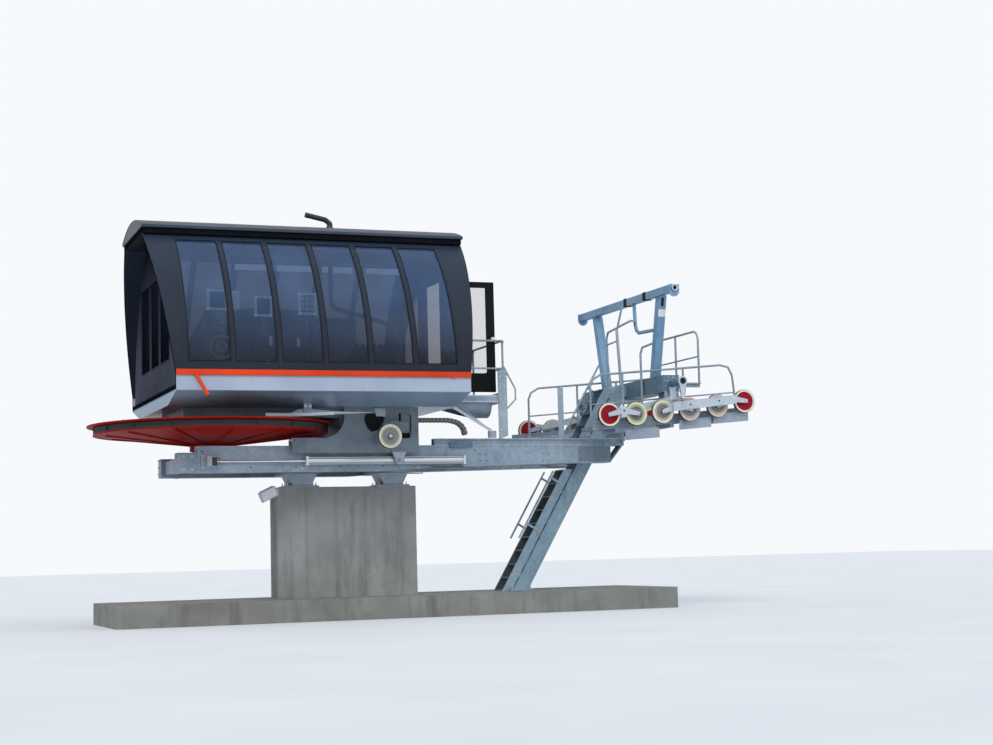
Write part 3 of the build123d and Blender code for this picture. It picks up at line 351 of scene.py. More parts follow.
def roof_sheet(name):
    """Slate-coloured sheet on the crown; black as painted shade on the fascia below the crown's edge and on whatever
    looks down.
    """
    material, tree, shader = new_finish(name, Specular_IOR_Level=0.22)
    where = object_place(tree)
    height, upward = split(tree, where)[2], split(tree, surface_normal(tree))[2]
    base = blend_colour(tree, clouds(tree, where, 0.8), colour((0.030, 0.045, 0.067)), colour((0.044, 0.062, 0.088)))
    base, dirt = soil(tree, base, colour((0.026, 0.032, 0.040)), 7.0, 0.25, 0.35)
    # Painted shade: black below the fascia line and on faces that look down.
    below = spread(tree, height, FASCIA_LINE + 0.004, FASCIA_LINE)
    black = math_node(tree, "MAXIMUM", below, spread(tree, upward, -0.3, -0.6))
    base = blend_colour(tree, black, base, colour((0.004, 0.0045, 0.006)))
    feed(tree, shader, Base_Color=base, Roughness=blend_value(tree, dirt, 0.45, 0.7))
    bump(tree, shader, noise(tree, where, 160.0, 2.0), 0.15, 0.0006)
    return material


def rod_and_fork(name):
    """Chrome on the rod, zinc on the fork that holds it and a dark drum between the fork's plates."""
    material, tree, shader = new_finish(name)
    place = split(tree, object_place(tree))
    rise = distance(tree, place[2], CYLINDER_Z)
    aside = distance(tree, math_node(tree, "ABSOLUTE", place[1]), CYLINDER_Y)

    def past(x):
        return math_node(tree, "GREATER_THAN", place[0], x)

    slim = math_node(tree, "LESS_THAN", math_node(tree, "MAXIMUM", rise, aside), 0.024)
    rod = math_node(tree, "MAXIMUM", past(-2.30), multiply(tree, slim, past(FORK_X + 0.05)))
    drum = multiply(tree, math_node(tree, "LESS_THAN", rise, 0.0785), past(FORK_X - 0.045))
    drum = multiply(tree, drum, math_node(tree, "SUBTRACT", 1.0, rod))
    spangle = place_group(tree, zinc_spangle)["Tone"]
    base = blend_colour(tree, spangle, colour((0.22, 0.26, 0.30)), colour((0.42, 0.47, 0.52)))
    base = blend_colour(tree, drum, base, colour((0.022, 0.021, 0.021)))
    lines = scratches(tree)
    chrome = blend_colour(tree, lines, colour((0.66, 0.70, 0.75)), colour((0.86, 0.89, 0.93)))
    feed(tree, shader, Base_Color=blend_colour(tree, rod, base, chrome),
         Metallic=blend_value(tree, rod, blend_value(tree, drum, 0.4, 0.0), 0.9),
         Roughness=blend_value(tree, rod, 0.52, spread(tree, lines, 0.2, 0.8, 0.12, 0.26)))
    return material


def skirt_and_pan(name):
    """Light sheet on the upright skirt, duller sheet on the sloping pan, bluer uphill and on the ends."""
    material, tree, shader = new_finish(name, Specular_IOR_Level=0.12)
    where = object_place(tree)
    place = split(tree, where)
    uphill = spread(tree, place[0], -1.2, 0.4)
    endwise = math_node(tree, "ABSOLUTE", split(tree, surface_normal(tree))[0])
    skirt = spread(tree, place[2], SKIRT_LOW - 0.012, SKIRT_LOW + 0.004)
    patches = clouds(tree, where, 0.7, 4.0, 0.55)
    upper = blend_colour(tree, patches, colour((0.34, 0.40, 0.50)), colour((0.43, 0.495, 0.60)))
    lower = blend_colour(tree, patches, colour((0.22, 0.29, 0.38)), colour((0.33, 0.41, 0.51)))
    bluer = blend_colour(tree, patches, colour((0.22, 0.295, 0.39)), colour((0.27, 0.36, 0.47)))
    base = blend_colour(tree, skirt, blend_colour(tree, uphill, lower, bluer), upper)
    base = blend_colour(tree, spread(tree, endwise, 0.7, 0.95), base, colour((0.13, 0.24, 0.38)))
    base, _ = soil(tree, base, colour((0.12, 0.14, 0.17)), 8.0, 0.4, 0.35)
    sheen = blend_value(tree, spread(tree, place[0], -2.9, -2.2), 0.15, blend_value(tree, uphill, 0.6, 0.15))
    feed(tree, shader, Base_Color=base, Roughness=blend_value(tree, skirt, 0.26, 0.45),
         Metallic=blend_value(tree, skirt, sheen, 0.0))
    bump(tree, shader, noise(tree, where, 3.0, 2.0), 0.08, 0.004)
    return material


ZINC = zinc("galvanised_steel", (0.37, 0.44, 0.51), (0.17, 0.22, 0.28))
ZINC_BLUE = zinc("galvanised_blue_cast", (0.20, 0.36, 0.52), (0.11, 0.23, 0.36), 0.3, 0.4)
# Near-black galvanised tone: painted shade for the stair's treads and the insides of its stringers.
STAIR_SHADE = zinc("stair_painted_shade", (0.085, 0.105, 0.115), (0.040, 0.052, 0.058), 0.3, 0.5)
ZINC_LEG = zinc("galvanised_leg", (0.29, 0.41, 0.49), (0.14, 0.215, 0.28), 0.4, 0.5)
ZINC_PALE = zinc("galvanised_new", (0.55, 0.61, 0.67), (0.36, 0.42, 0.48), 0.35, 0.35)
# A darker copy of galvanised steel: painted shade for the crossarm and other parts that sit in shade.
ZINC_SHADE = zinc("galvanised_painted_shade", (0.135, 0.225, 0.30), (0.068, 0.125, 0.18), 0.3, 0.5)
# Beam steel, with painted shade darkening its uphill end past the splice.
BEAM = zinc("beam_steel", (0.37, 0.44, 0.52), (0.16, 0.225, 0.285), runs=0.5, stain=colour((0.09, 0.115, 0.14)),
            bare=colour((0.56, 0.62, 0.68)), over=splice_end_shade)
PLATE = paint("cheek_plate_grey", (0.142, 0.180, 0.215), 0.5, 0.6, 0.5, (0.3, 0.3, 0.3), drift=2.4)
CONCRETE = concrete("pier_concrete", (0.325, 0.335, 0.325), (0.200, 0.206, 0.198), (-0.52, 0.05, 0.62, 1.33))
SLAB_CONCRETE = concrete("slab_concrete", (0.24, 0.245, 0.225), (0.13, 0.13, 0.115), (-2.2, 1.1, 4.4))
SLATE = roof_sheet("roof_slate")
# Housing paint, lighter and bluer towards the roof as a painted sky reflection.
BLACK = paint("housing_black", (0.010, 0.015, 0.028), 0.4, 0.5, 0.2, (0.03, 0.035, 0.045), shine=0.22,
              sky=(0.020, 0.033, 0.056))
# Near black with no shine: painted shade on the fascia and under the crown's edge, also used on the floor's ends and
# the shell's end strips.
DEEP_BLACK = paint("fascia_painted_shade_black", (0.007, 0.008, 0.011), 0.6, 0.4, 0.2, (0.02, 0.02, 0.022), shine=0.0)
# End-wall sheet, darker towards the roof as painted shade under it.
END_WALL = paint("end_wall_sheet", (0.070, 0.078, 0.105), 0.6, 0.4, 0.2, (0.05, 0.05, 0.06), shine=0.0,
                 sky=(0.010, 0.011, 0.015))
GLASS = tinted_glass("tinted_glass", (0.046, 0.094, 0.198), 0.60)
END_GLASS = tinted_glass("end_window_glass", (0.006, 0.009, 0.018), 0.45, 0.88, 0.0, 0.25)
CLEAR_GLASS = tinted_glass("door_glass", (0.05, 0.06, 0.07), 0.16, foot=0.25)
SKIRT = skirt_and_pan("skirt_and_pan")
ORANGE = paint("orange_stripe", (0.70, 0.050, 0.008), 0.45, 0.3, 0.2, (0.4, 0.06, 0.02), shine=0.2)
DULL_BLACK = paint("dull_black", (0.008, 0.008, 0.009), 0.6, 0.4, 0.3, (0.06, 0.06, 0.06), shine=0.1)
DARK_STEEL = paint("dark_steel", (0.040, 0.042, 0.048), 0.55, 0.5, 0.5, (0.13, 0.08, 0.05), shine=0.3)
RED = paint("bullwheel_red", (0.29, 0.008, 0.004), 0.5, 0.5, 0.4, (0.10, 0.015, 0.010), shine=0.05)
LINER = rubber("liner_rubber", (0.022, 0.022, 0.024))
TREAD = rubber("tread_rubber", (0.016, 0.017, 0.018), 0.7)
GASKET = rubber("window_gasket", (0.007, 0.008, 0.010), 0.7, 0.12)
CREAM = rubber("cream_ring", (0.66, 0.61, 0.46), 0.6)
LIME = rubber("lime_ring", (0.56, 0.60, 0.33), 0.6)
PINK = rubber("pink_ring", (0.58, 0.44, 0.39), 0.6)
# Darker band in the recess inside the coloured rings; its darker tone is painted shade.
RING_RECESS_SHADE = rubber("ring_recess_painted_shade", (0.36, 0.35, 0.28), 0.6)
OLIVE = rubber("idler_ring", (0.50, 0.49, 0.36), 0.6)
SHEAVE_RED = paint("sheave_red", (0.30, 0.007, 0.018), 0.45, 0.25, 0.3, (0.12, 0.015, 0.015), shine=0.1)
SHEAVE_GREY = paint("sheave_grey", (0.205, 0.20, 0.21), 0.5, 0.4, 0.5, (0.4, 0.4, 0.4), shine=0.3)
MACHINE = paint("machine_blue", (0.09, 0.14, 0.22), 0.4, 0.3, 0.5)
CABINET = paint("cabinet_grey", (0.55, 0.57, 0.58), 0.42, 0.25, 0.3, (0.3, 0.3, 0.3))
WHITE = paint("white_paint", (0.78, 0.80, 0.82), 0.4, 0.3, 0.4, (0.3, 0.3, 0.3))
LAMP = paint("lamp_grey", (0.52, 0.57, 0.62), 0.4, 0.3, 0.4, (0.4, 0.4, 0.4))
CHAIN = rubber("chain_links", (0.11, 0.105, 0.09), 0.55)
CHAIN_RIB = rubber("chain_ribs", (0.26, 0.25, 0.21), 0.5)
ROD = rod_and_fork("rod_and_fork")
BARREL = bright_metal("barrel_tube", (0.62, 0.66, 0.70), 0.38)
BOLT = bright_metal("bolt_zinc", (0.55, 0.57, 0.58), 0.42)
DARK_BOLT = bright_metal("bolt_dark", (0.05, 0.055, 0.065), 0.5)
# Near black: painted shade for open holes, a slot and a tube's open end.
HOLE_SHADE = rubber("open_hole_painted_shade", (0.004, 0.004, 0.005), 0.9)
STRIP_LAMP = glowing_cover("strip_lamp_cover", 0.62)
# Painted glow for panel frames, dials and boxes in the room, which are no lamps.
PANEL_GLOW = glowing_cover("panel_frame_painted_glow", 0.34)
FAINT_PANEL_GLOW = glowing_cover("panel_frame_faint_painted_glow", 0.14)


# --- Shaping tools ---

class Shape:
    """One piece while it is being made: solids are added to a single mesh, each with a finish.

    Places are given for the far side; while side is -1 they are mirrored to the near side.
    """

    def __init__(self, side=1):
        self.mesh = bmesh.new()
        self.finishes = []
        self.side = side

    def place(self, point):
        """A point on the side that is being made."""
        x, y, z = point
        return Vector((x, self.side * y, z))

    def faces(self, rings, finish, closed=False):
        """Skins rings of points as they are; closed joins the last to the first, else the ends are capped."""
        verts = [[self.mesh.verts.new(point) for point in ring] for ring in rings]
        count = len(verts[0])
        pairs = list(zip(verts, verts[1:]))
        if closed:
            pairs.append((verts[-1], verts[0]))
        made = []
        for low, high in pairs:
            for index in range(count):
                after = (index + 1) % count
                made.append(self.mesh.faces.new((low[index], low[after], high[after], high[index])))
        if not closed:
            made += [self.mesh.faces.new(verts[0][::-1]), self.mesh.faces.new(verts[-1])]
        if finish not in self.finishes:
            self.finishes.append(finish)
        for face in made:
            face.material_index = self.finishes.index(finish)

    def skin(self, rings, finish):
        """Skins rings of points on the side that is being made."""
        self.faces([[self.place(point) for point in ring] for ring in rings], finish)

    def plate(self, outline, y0, y1, finish):
        """An outline of (x, z) points, swept across."""
        self.skin([[(x, y, z) for x, z in outline] for y in (y0, y1)], finish)

    def rail(self, outline, x0, x1, finish):
        """An outline of (y, z) points, swept along."""
        self.skin([[(x, y, z) for y, z in outline] for x in (x0, x1)], finish)

    def box(self, x0, x1, y0, y1, z0, z1, finish):
        self.plate([(x0, z0), (x1, z0), (x1, z1), (x0, z1)], y0, y1, finish)

    def plank(self, start, end, wide, high, finish, up=UP):
        """A rectangular bar from start to end."""
        start, end = self.place(start), self.place(end)
        along = (end - start).normalized()
        aside = along.cross(self.place(up)).normalized() * wide / 2
        rise = aside.cross(along).normalized() * high / 2
        corners = (aside + rise, rise - aside, -aside - rise, aside - rise)
        self.faces([[p + corner for corner in corners] for p in (start, end)], finish)

    def lathe(self, profile, centre, axis, sides, finish, closed=True):
        """A profile of (radius, along) points turned about an axis; closed means that it is a ring."""
        turn = self.place(axis).to_track_quat("Z", "X").to_matrix()
        centre = self.place(centre)
        rings = [[centre + turn @ Vector((a, b, along)) for a, b in around(sides, radius)] for radius, along in profile]
        self.faces(rings, finish, closed)

    def rod(self, start, end, radius, finish, sides=12):
        """A round bar with broken edges."""
        start, end = Vector(start), Vector(end)
        length = (end - start).length
        edge = min(radius * 0.2, length * 0.2)
        profile = [(radius - edge, 0), (radius, edge), (radius, length - edge), (radius - edge, length)]
        self.lathe(profile, start, end - start, sides, finish, closed=False)

    def pin(self, x, z, y0, y1, radius, finish, sides=12):
        """A round bar straight across."""
        self.rod((x, y0, z), (x, y1, z), radius, finish, sides)

    def tube(self, points, radius, finish, sides=10, turn=0.12):
        """A round tube along a path whose corners are bent to a radius."""
        points = [self.place(point) for point in points]
        path = [points[0]]
        for before, at, after in zip(points, points[1:], points[2:]):
            reach = min(turn, (at - before).length * 0.45, (after - at).length * 0.45)
            a, b = at + (before - at).normalized() * reach, at + (after - at).normalized() * reach
            path += [a.lerp(at, t).lerp(at.lerp(b, t), t) for t in (0, 0.25, 0.5, 0.75, 1)]
        path.append(points[-1])
        rings, aside = [], None
        for index, point in enumerate(path):
            ahead = path[min(index + 1, len(path) - 1)] - path[max(index - 1, 0)]
            ahead.normalize()
            if aside is None:
                aside = ahead.orthogonal().normalized()
            aside = (aside - ahead * aside.dot(ahead)).normalized()
            other = ahead.cross(aside)
            rings.append([point + aside * a + other * b for a, b in around(sides, radius)])
        self.faces(rings, finish)

    def bolt(self, at, normal, radius, finish=BOLT):
        """A washer, a six-sided head and the thread's end."""
        washer = [(radius * 1.5, -0.001), (radius * 1.5, radius * 0.22), (radius * 1.35, radius * 0.3)]
        head = [(radius * 1.1, radius * 0.28), (radius * 1.1, radius * 0.95), (radius * 0.9, radius * 1.1)]
        thread = [(radius * 0.5, radius), (radius * 0.5, radius * 1.45), (radius * 0.4, radius * 1.6)]
        for profile, sides in ((washer, 14), (head, 6), (thread, 8)):
            self.lathe(profile, at, normal, sides, finish, closed=False)

    def screw(self, at, normal, radius, rim, top, high, finish):
        """A low round head with a slanted edge, from rim to top."""
        self.lathe([(radius, -0.001), (radius, rim), (top, high)], at, normal, 8, finish, closed=False)

    def done(self, name, body, soften, smooth=35, replaces=()):
        """The finished piece on its body."""
        bmesh.ops.recalc_face_normals(self.mesh, faces=self.mesh.faces)
        data = bpy.data.meshes.new(name)
        limit = math.radians(smooth)
        for edge in self.mesh.edges:
            edge.smooth = len(edge.link_faces) == 2 and edge.calc_face_angle(0) < limit
        for face in self.mesh.faces:
            face.smooth = True
        self.mesh.to_mesh(data)
        self.mesh.free()
        for finish in self.finishes:
            data.materials.append(finish)
        piece = bpy.data.objects.new(name, data)
        bpy.context.scene.collection.objects.link(piece)
        if soften:
            bevel = piece.modifiers.new("soften", "BEVEL")
            bevel.width, bevel.segments, bevel.limit_method, bevel.angle_limit = soften, 2, "ANGLE", limit
            bevel.harden_normals = False
        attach(piece, body)
        if replaces:
            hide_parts(*replaces)


def around(count, radius, first=0.0):
    """Points spread evenly round a circle; first is the first one's angle in degrees."""
    for k in range(count):
        turn = 2 * math.pi * k / count + math.radians(first)
        yield radius * math.cos(turn), radius * math.sin(turn)


def arc(x, z, wide, high, angles):
    """Points along an arc in the (x, z) plane; the angles are in degrees."""
    return [(x + wide * math.cos(math.radians(a)), z + high * math.sin(math.radians(a))) for a in angles]


def ring(inner, outer, low, high):
    """The profile of a plain ring."""
    return [(inner, low), (outer, low), (outer, high), (inner, high)]


def surround(a0, a1, b0, b1, wide):
    """The four bars round an opening."""
    return ((a0 - wide, a0, b0 - wide, b1 + wide), (a1, a1 + wide, b0 - wide, b1 + wide),
            (a0, a1, b0 - wide, b0), (a0, a1, b1, b1 + wide))


def edging(a0, a1, b0, b1, wide):
    """The four bars along a rectangle's inner edge."""
    return (a0, a0 + wide, b0, b1), (a1 - wide, a1, b0, b1), (a0, a1, b0, b0 + wide), (a0, a1, b1 - wide, b1)


def wall_y(z, out):
    """The y of a place that is a distance outside a side wall's outer face, at a height."""
    return WALL_MIDDLE[0] + math.sqrt((WALL_RADIUS + out) ** 2 - (z - WALL_MIDDLE[1]) ** 2)


def beam_low(x):
    """The height of the main beams' underside."""
    for (x0, z0), (x1, z1) in zip(BEAM_LOW, BEAM_LOW[1:]):
        if x0 <= x <= x1:
            return z0 + (z1 - z0) * (x - x0) / (x1 - x0)
    return BEAM_LOW[-1][1]


def walk_top(x, shift):
    """The height of a walkway, which climbs uphill."""
    return 3.47 + 0.084 * (x - 4.65 - shift)


def leg_x(z):
    """Where the middle of the leaning leg is at a height."""
    return 3.74 + (z - 0.4) * 2.351 / 4.02


def along_leg(low, high, front, back, trim=0.0):
    """An outline that leans as the leg does."""
    return [(leg_x(low) + front, low + trim), (leg_x(low) + back, low + trim),
            (leg_x(high) + back, high - trim), (leg_x(high) + front, high - trim)]


# --- Finishes of the frame's own nodes ---

NODE_FINISH = {
    "foundation_slab": SLAB_CONCRETE, "concrete_pier": CONCRETE, "housing_roof": SLATE, "side_shell_near": BLACK,
    "side_shell_far": BLACK, "side_glass_near": GLASS, "side_glass_far": GLASS, "end_glass": END_GLASS,
    "door_glass": CLEAR_GLASS, "end_wall_downhill": END_WALL, "end_wall_uphill": END_WALL, "housing_floor": SKIRT,
    "gutters": ORANGE, "exhaust_pipe": DARK_STEEL, "door_leaf": DULL_BLACK, "bullwheel": RED,
    "bullwheel_liner": LINER, "gearbox": MACHINE, "drive_motor": MACHINE, "backup_engine": DARK_STEEL,
    "switch_cabinets": CABINET, "guard_blade": WHITE, "floodlight": LAMP, "tension_rods": ROD,
    "cylinder_barrels": BARREL, "lifting_frame": ZINC_BLUE, "crossarm": ZINC_SHADE, "carriage_frame": PLATE,
    "sheave_arms_near": ZINC_PALE, "sheave_arms_far": ZINC_PALE, "main_beam_near": BEAM, "main_beam_far": BEAM,
    "support_leg": ZINC_LEG,
}
for name, node in nodes.items():
    for material_slot in node.material_slots:
        material_slot.material = NODE_FINISH.get(name, ZINC)


# --- Sheaves and idlers, turned on a lathe ---

def make_sheave(name, place, radius, disc, ring_finish):
    """A turned disc, its rings in their colours and the dark tread with the rope's groove."""
    x, y, z = place
    bore, hub, half, web, tread = 0.0223, 0.062, 0.035, 0.018, radius - 0.006
    red = disc is SHEAVE_RED
    inner, seat = (0.80, 0.80) if red else (0.70, 0.79) if ring_finish is OLIVE else (0.60, 0.745)
    inner, seat = radius * inner, radius * seat
    shape = Shape()

    def turned(profile, finish):
        """Half a profile, of (radius, distance in from the face) points; its mirror image goes with it."""
        profile = [(r, inward - half) for r, inward in profile]
        shape.lathe(profile + [(r, -along) for r, along in reversed(profile)], place, OUT, 48, finish)

    deep = half - web
    turned([(bore, 0), (hub, 0), (0.070, 0.006), (0.080, deep), (inner - 0.012, deep), (inner, 0.006)], disc)
    if not red:
        # Recessed band inside the ring, darker as painted shade.
        turned([(inner - 0.002, 0.006), (inner + 0.004, 0.003), (seat - 0.006, 0.003), (seat - 0.003, 0.012)],
               RING_RECESS_SHADE)
        turned([(seat - 0.004, 0.011), (seat + 0.003, 0.011)], TREAD)
    turned([(seat - 0.001, 0.008), (seat + 0.004, 0), (tread - 0.003, 0), (tread, 0.003), (tread, 0.011),
            (radius - 0.026, 0.026)], ring_finish)
    turned([(radius - 0.0265, 0.026), (tread - 0.0005, 0.0115), (tread - 0.0005, 0.004), (radius - 0.004, 0.004),
            (radius, 0.009), (radius, 0.012), (radius - 0.0215, 0.026)], TREAD)
    for face in (-1, 1):
        for dx, dz in around(6, inner - 0.032, 15):
            shape.bolt((x + dx, y + face * web, z + dz), (0, face, 0), 0.006, disc)
        washer = (x, y + face * (half - 0.002), z)
        shape.lathe(ring(0.030, 0.056, 0.0, 0.004), washer, (0, face, 0), 24, DARK_BOLT)
    shape.done(name, name.replace("_turned", "_body"), 0, 28, replaces=[name.replace("_turned", "")])


for where, side in SIDES:
    shift = FAR_SHIFT if side > 0 else 0.0
    for number, (x, z), ring_finish in zip(range(1, 7), SHEAVES, (CREAM, LIME, CREAM, PINK, PINK, CREAM)):
        disc, slot = (SHEAVE_RED, "sheave_red") if number in (1, 6) else (SHEAVE_GREY, "sheave_grey")
        place = (x + shift, side * ROPE_Y, z)
        make_sheave(f"sheave_{where}_{number}_turned", place, SHEAVE_RADIUS, disc, ring_finish)
    place = (IDLER_X, side * ROPE_Y, IDLER_Z)
    make_sheave(f"idler_{where}_turned", place, IDLER_RADIUS, SHEAVE_GREY, OLIVE)


# --- Sheave train fittings ---

def train_fittings(where, side):
    """Square-ended arm plates, pivot plates, pin ends and the face and edges of the rocking beam."""
    shape = Shape(side)
    shift = FAR_SHIFT if side > 0 else 0.0
    wheels = [(x + shift, z) for x, z in SHEAVES]
    face = ROPE_Y + 0.075
    outer = face + 0.045
    for x, z in wheels:
        shape.pin(x, z, face - 0.002, face + 0.016, 0.027, BOLT, 16)
        shape.pin(x, z, face + 0.014, face + 0.022, 0.012, BOLT)
    pivots = [((p[0] + q[0]) / 2, (p[1] + q[1]) / 2 + lift)
              for p, q, lift in zip(wheels[::2], wheels[1::2], (0.06, 0.078, 0.078))]
    for index, (x, z) in enumerate(pivots):
        for way, hub in zip((1, -1), wheels[2 * index:2 * index + 2]):
            hub, pivot = Vector(hub), Vector((x, z))
            along = (pivot - hub).normalized()
            across = Vector((-along.y, along.x)) * way
            tail, head = hub - along * 0.042, pivot - along * 0.045
            corners = (tail - across * 0.034, tail + across * 0.036, head + across * 0.066, head - across * 0.052)
            shape.plate(corners, face - 0.001, face + 0.007, ZINC_PALE)
        if index == 0:
            plate = [(x - 0.055, z - 0.115), (x + 0.05, z - 0.12), (x + 0.055, z + 0.075), (x - 0.05, z + 0.085)]
            shape.plate(plate, face + 0.002, face + 0.011, ZINC_PALE)
            # Dark disc of painted shade for the pivot's hole.
            shape.pin(x, z, face + 0.009, face + 0.012, 0.020, HOLE_SHADE, 18)
        else:
            shape.pin(x, z, outer - 0.002, outer + 0.008, 0.034, ZINC_PALE, 24)
    (x0, z0), (x1, z1) = pivots[1], pivots[2]
    beam = [(x0 - 0.105, z0 - 0.098), (x1 + 0.075, z1 - 0.088), (x1 + 0.085, z1 + 0.084), (x0 - 0.105, z0 + 0.076)]
    shape.plate(beam, outer - 0.001, outer + 0.003, ZINC_PALE)
    # Dark discs at 0.22 and 0.74 along the rocking beam: painted shade for its holes.
    for share, thick, radius, finish, sides in ((0.22, 0.005, 0.019, HOLE_SHADE, 16), (0.5, 0.006, 0.030, ZINC_PALE, 20),
                                                (0.74, 0.005, 0.019, HOLE_SHADE, 16)):
        x, z = x0 + share * (x1 - x0), z0 + share * (z1 - z0)
        shape.pin(x, z, outer + 0.001, outer + thick, radius, finish, sides)
    for lift in (-0.084, 0.070):
        start, end = (x0 - 0.09, outer + 0.004, z0 + lift), (x1 + 0.06, outer + 0.004, z1 + lift + 0.008)
        shape.plank(start, end, 0.010, 0.010, ZINC_PALE)
    shape.bolt((ARM_X, 2.45, 3.975), OUT, 0.020)
    for x, z in wheels[1:3] + wheels[4:5]:
        shape.bolt((x + 0.06, face, z + 0.028), OUT, 0.007)
    shape.done(f"train_fittings_{where}", "base", 0.0015)


for where, side in SIDES:
    train_fittings(where, side)


# --- Main beams ---

def beam_fittings(where, side):
    """Lower flange, stiffeners, splice, weld bead, bolt groups, open holes drawn as painted shade, and a cleat."""
    shape = Shape(side)
    web_top = BEAM_TOP - 0.022

    def holes(xs, z, radius, proud=0.002):
        """Open holes in the web, shown as dark discs of painted shade on its face."""
        for x in xs:
            shape.pin(x, z, BEAM_OUT - 0.002, BEAM_OUT + proud, radius, HOLE_SHADE)

    low = beam_low(SPLICE_X) + 0.02
    shape.box(SPLICE_X - 0.005, SPLICE_X + 0.005, BEAM_OUT, BEAM_OUT + 0.004, low, web_top, ZINC_SHADE)
    for z in (2.90, 3.06):
        holes([SPLICE_X + 0.05], z, 0.010)
    for (x0, z0), (x1, z1) in zip(BEAM_LOW, BEAM_LOW[1:]):
        flange = [(x0, z0 - 0.002), (x1, z1 - 0.002), (x1, z1 + 0.018), (x0, z0 + 0.018)]
        shape.plate(flange, BEAM_OUT + 0.009, BEAM_IN - 0.009, ZINC)
    for x in (-2.45, 1.60):
        for y0, y1 in ((BEAM_OUT, BEAM_OUT + 0.006), (BEAM_IN, BEAM_IN - 0.006)):
            shape.box(x - 0.008, x + 0.008, y0, y1, beam_low(x) + 0.018, web_top, ZINC)
    bead_y, bead_z = BEAM_OUT + 0.001, BEAM_TOP - 0.021
    shape.tube([(-2.66, bead_y, bead_z), (5.34, bead_y, bead_z)], 0.006, ZINC, 6)
    for k in range(6):
        x = -2.58 + 0.83 * k
        holes([x], beam_low(x) + 0.085, 0.013)
    holes((-2.63, 2.55), 3.08, 0.013, 0.0025)
    for x, low, high in ((2.65, 2.88, 3.01), (3.92, 2.875, 3.00)):
        for z in (low, high):
            holes((x, x + 0.13), z, 0.012, 0.0025)
    face_bolts = [(x, z) for x in (-2.96, -2.81) for z in (2.76, 3.0)] + [(x, 2.76) for x in (-0.80, -0.36, 0.98, 1.42)]
    for x, z in face_bolts:
        shape.bolt((x, BEAM_OUT, z), OUT, 0.014)
    for z in (2.78, 2.91, 3.04):
        for y in (0.90, 1.08):
            shape.bolt((-3.02, y, z), DOWNHILL, 0.014)
    for k in range(9):
        shape.bolt((1.95 + 0.44 * k, BEAM_OUT - 0.1095, BEAM_TOP + 0.125), UP, 0.010)
    cleat = [(2.04, 3.13), (2.47, 3.13), (2.49, 3.16), (2.49, 3.22), (2.44, 3.245), (2.09, 3.245), (2.04, 3.21)]
    shape.plate(cleat, BEAM_OUT, BEAM_OUT + 0.055, ZINC_SHADE)
    shape.done(f"beam_fittings_{where}", "base", 0.002)


for where, side in SIDES:
    beam_fittings(where, side)


# --- Pier, slab and pedestals ---

def pier_details():
    """Filled tie holes left by the forms, and the anchor bolts of the pedestals and the leg."""
    shape = Shape()
    filling = [(0.016, -0.003), (0.016, 0.001), (0.012, 0.0015)]
    for shape.side in (-1, 1):
        for x in (-0.80, -0.22, 0.35, 0.95, 1.47):
            for z in (0.75, 2.05):
                shape.lathe(filling, (x, 0.29, z), OUT, 14, CONCRETE, closed=False)
    for x in (-0.85, -0.31, 0.93, 1.47):
        for y in (-0.21, 0.0, 0.21):
            shape.rod((x, y, 2.488), (x, y, 2.545), 0.011, BOLT)
            shape.bolt((x, y, 2.490), UP, 0.016)
    for y in (-0.27, 0.27):
        for x in (3.56, 3.94):
            shape.bolt((x, y, 0.43), UP, 0.020)
            shape.rod((x, y, 0.43), (x, y, 0.49), 0.013, BOLT)
    shape.done("pier_details", "base", 0)


pier_details()


# --- Walkways ---

def walkway_detail(where, side):
    """Grating bars, edge channels, toe boards and rail feet."""
    shape = Shape(side)
    shift = WALK_SHIFT if side > 0 else 0.0
    x0, x1, bays = 4.65 + shift, 7.94 + shift, 66
    z0, z1 = walk_top(x0, shift), walk_top(x1, shift)
    for k in range(bays + 1):
        x = x0 + (x1 - x0) * k / bays
        z = walk_top(x, shift)
        shape.box(x - 0.003, x + 0.003, 1.38, 1.90, z, z + 0.012, ZINC)
    for y in (1.40, 1.51, 1.64, 1.77, 1.88):
        shape.plank((x0, y, z0 + 0.006), (x1, y, z1 + 0.006), 0.006, 0.014, ZINC)
    for y, high in ((1.905, 0.11), (1.378, 0.01)):
        edge = [(x0, z0 - 0.075), (x1, z1 - 0.075), (x1, z1 + high), (x0, z0 + high)]
        shape.plate(edge, y - 0.004, y + 0.004, ZINC)
    for x in (x0 + 0.195, x0 + 0.885, x0 + 1.295, x0 + 2.195):
        z = walk_top(x, shift)
        shape.box(x - 0.045, x + 0.045, 1.37, 1.44, z, z + 0.014, ZINC)
        for dx in (-0.03, 0.03):
            shape.bolt((x + dx, 1.43, z + 0.014), UP, 0.007)
        shape.lathe([(0.021, 0.0), (0.028, 0.0), (0.024, 0.03), (0.021, 0.03)], (x, 1.40, z + 0.012), UP, 16, ZINC)
    for x in (x0 + 0.5, ARM_X, x0 + 2.55):
        for y in (1.45, 1.83):
            shape.bolt((x - 0.041, y, walk_top(x, shift) - 0.10), DOWNHILL, 0.010)
    shape.done(f"walkway_grating_{where}", "base", 0)


for where, side in SIDES:
    walkway_detail(where, side)


# --- Crossarm and lifting frame ---

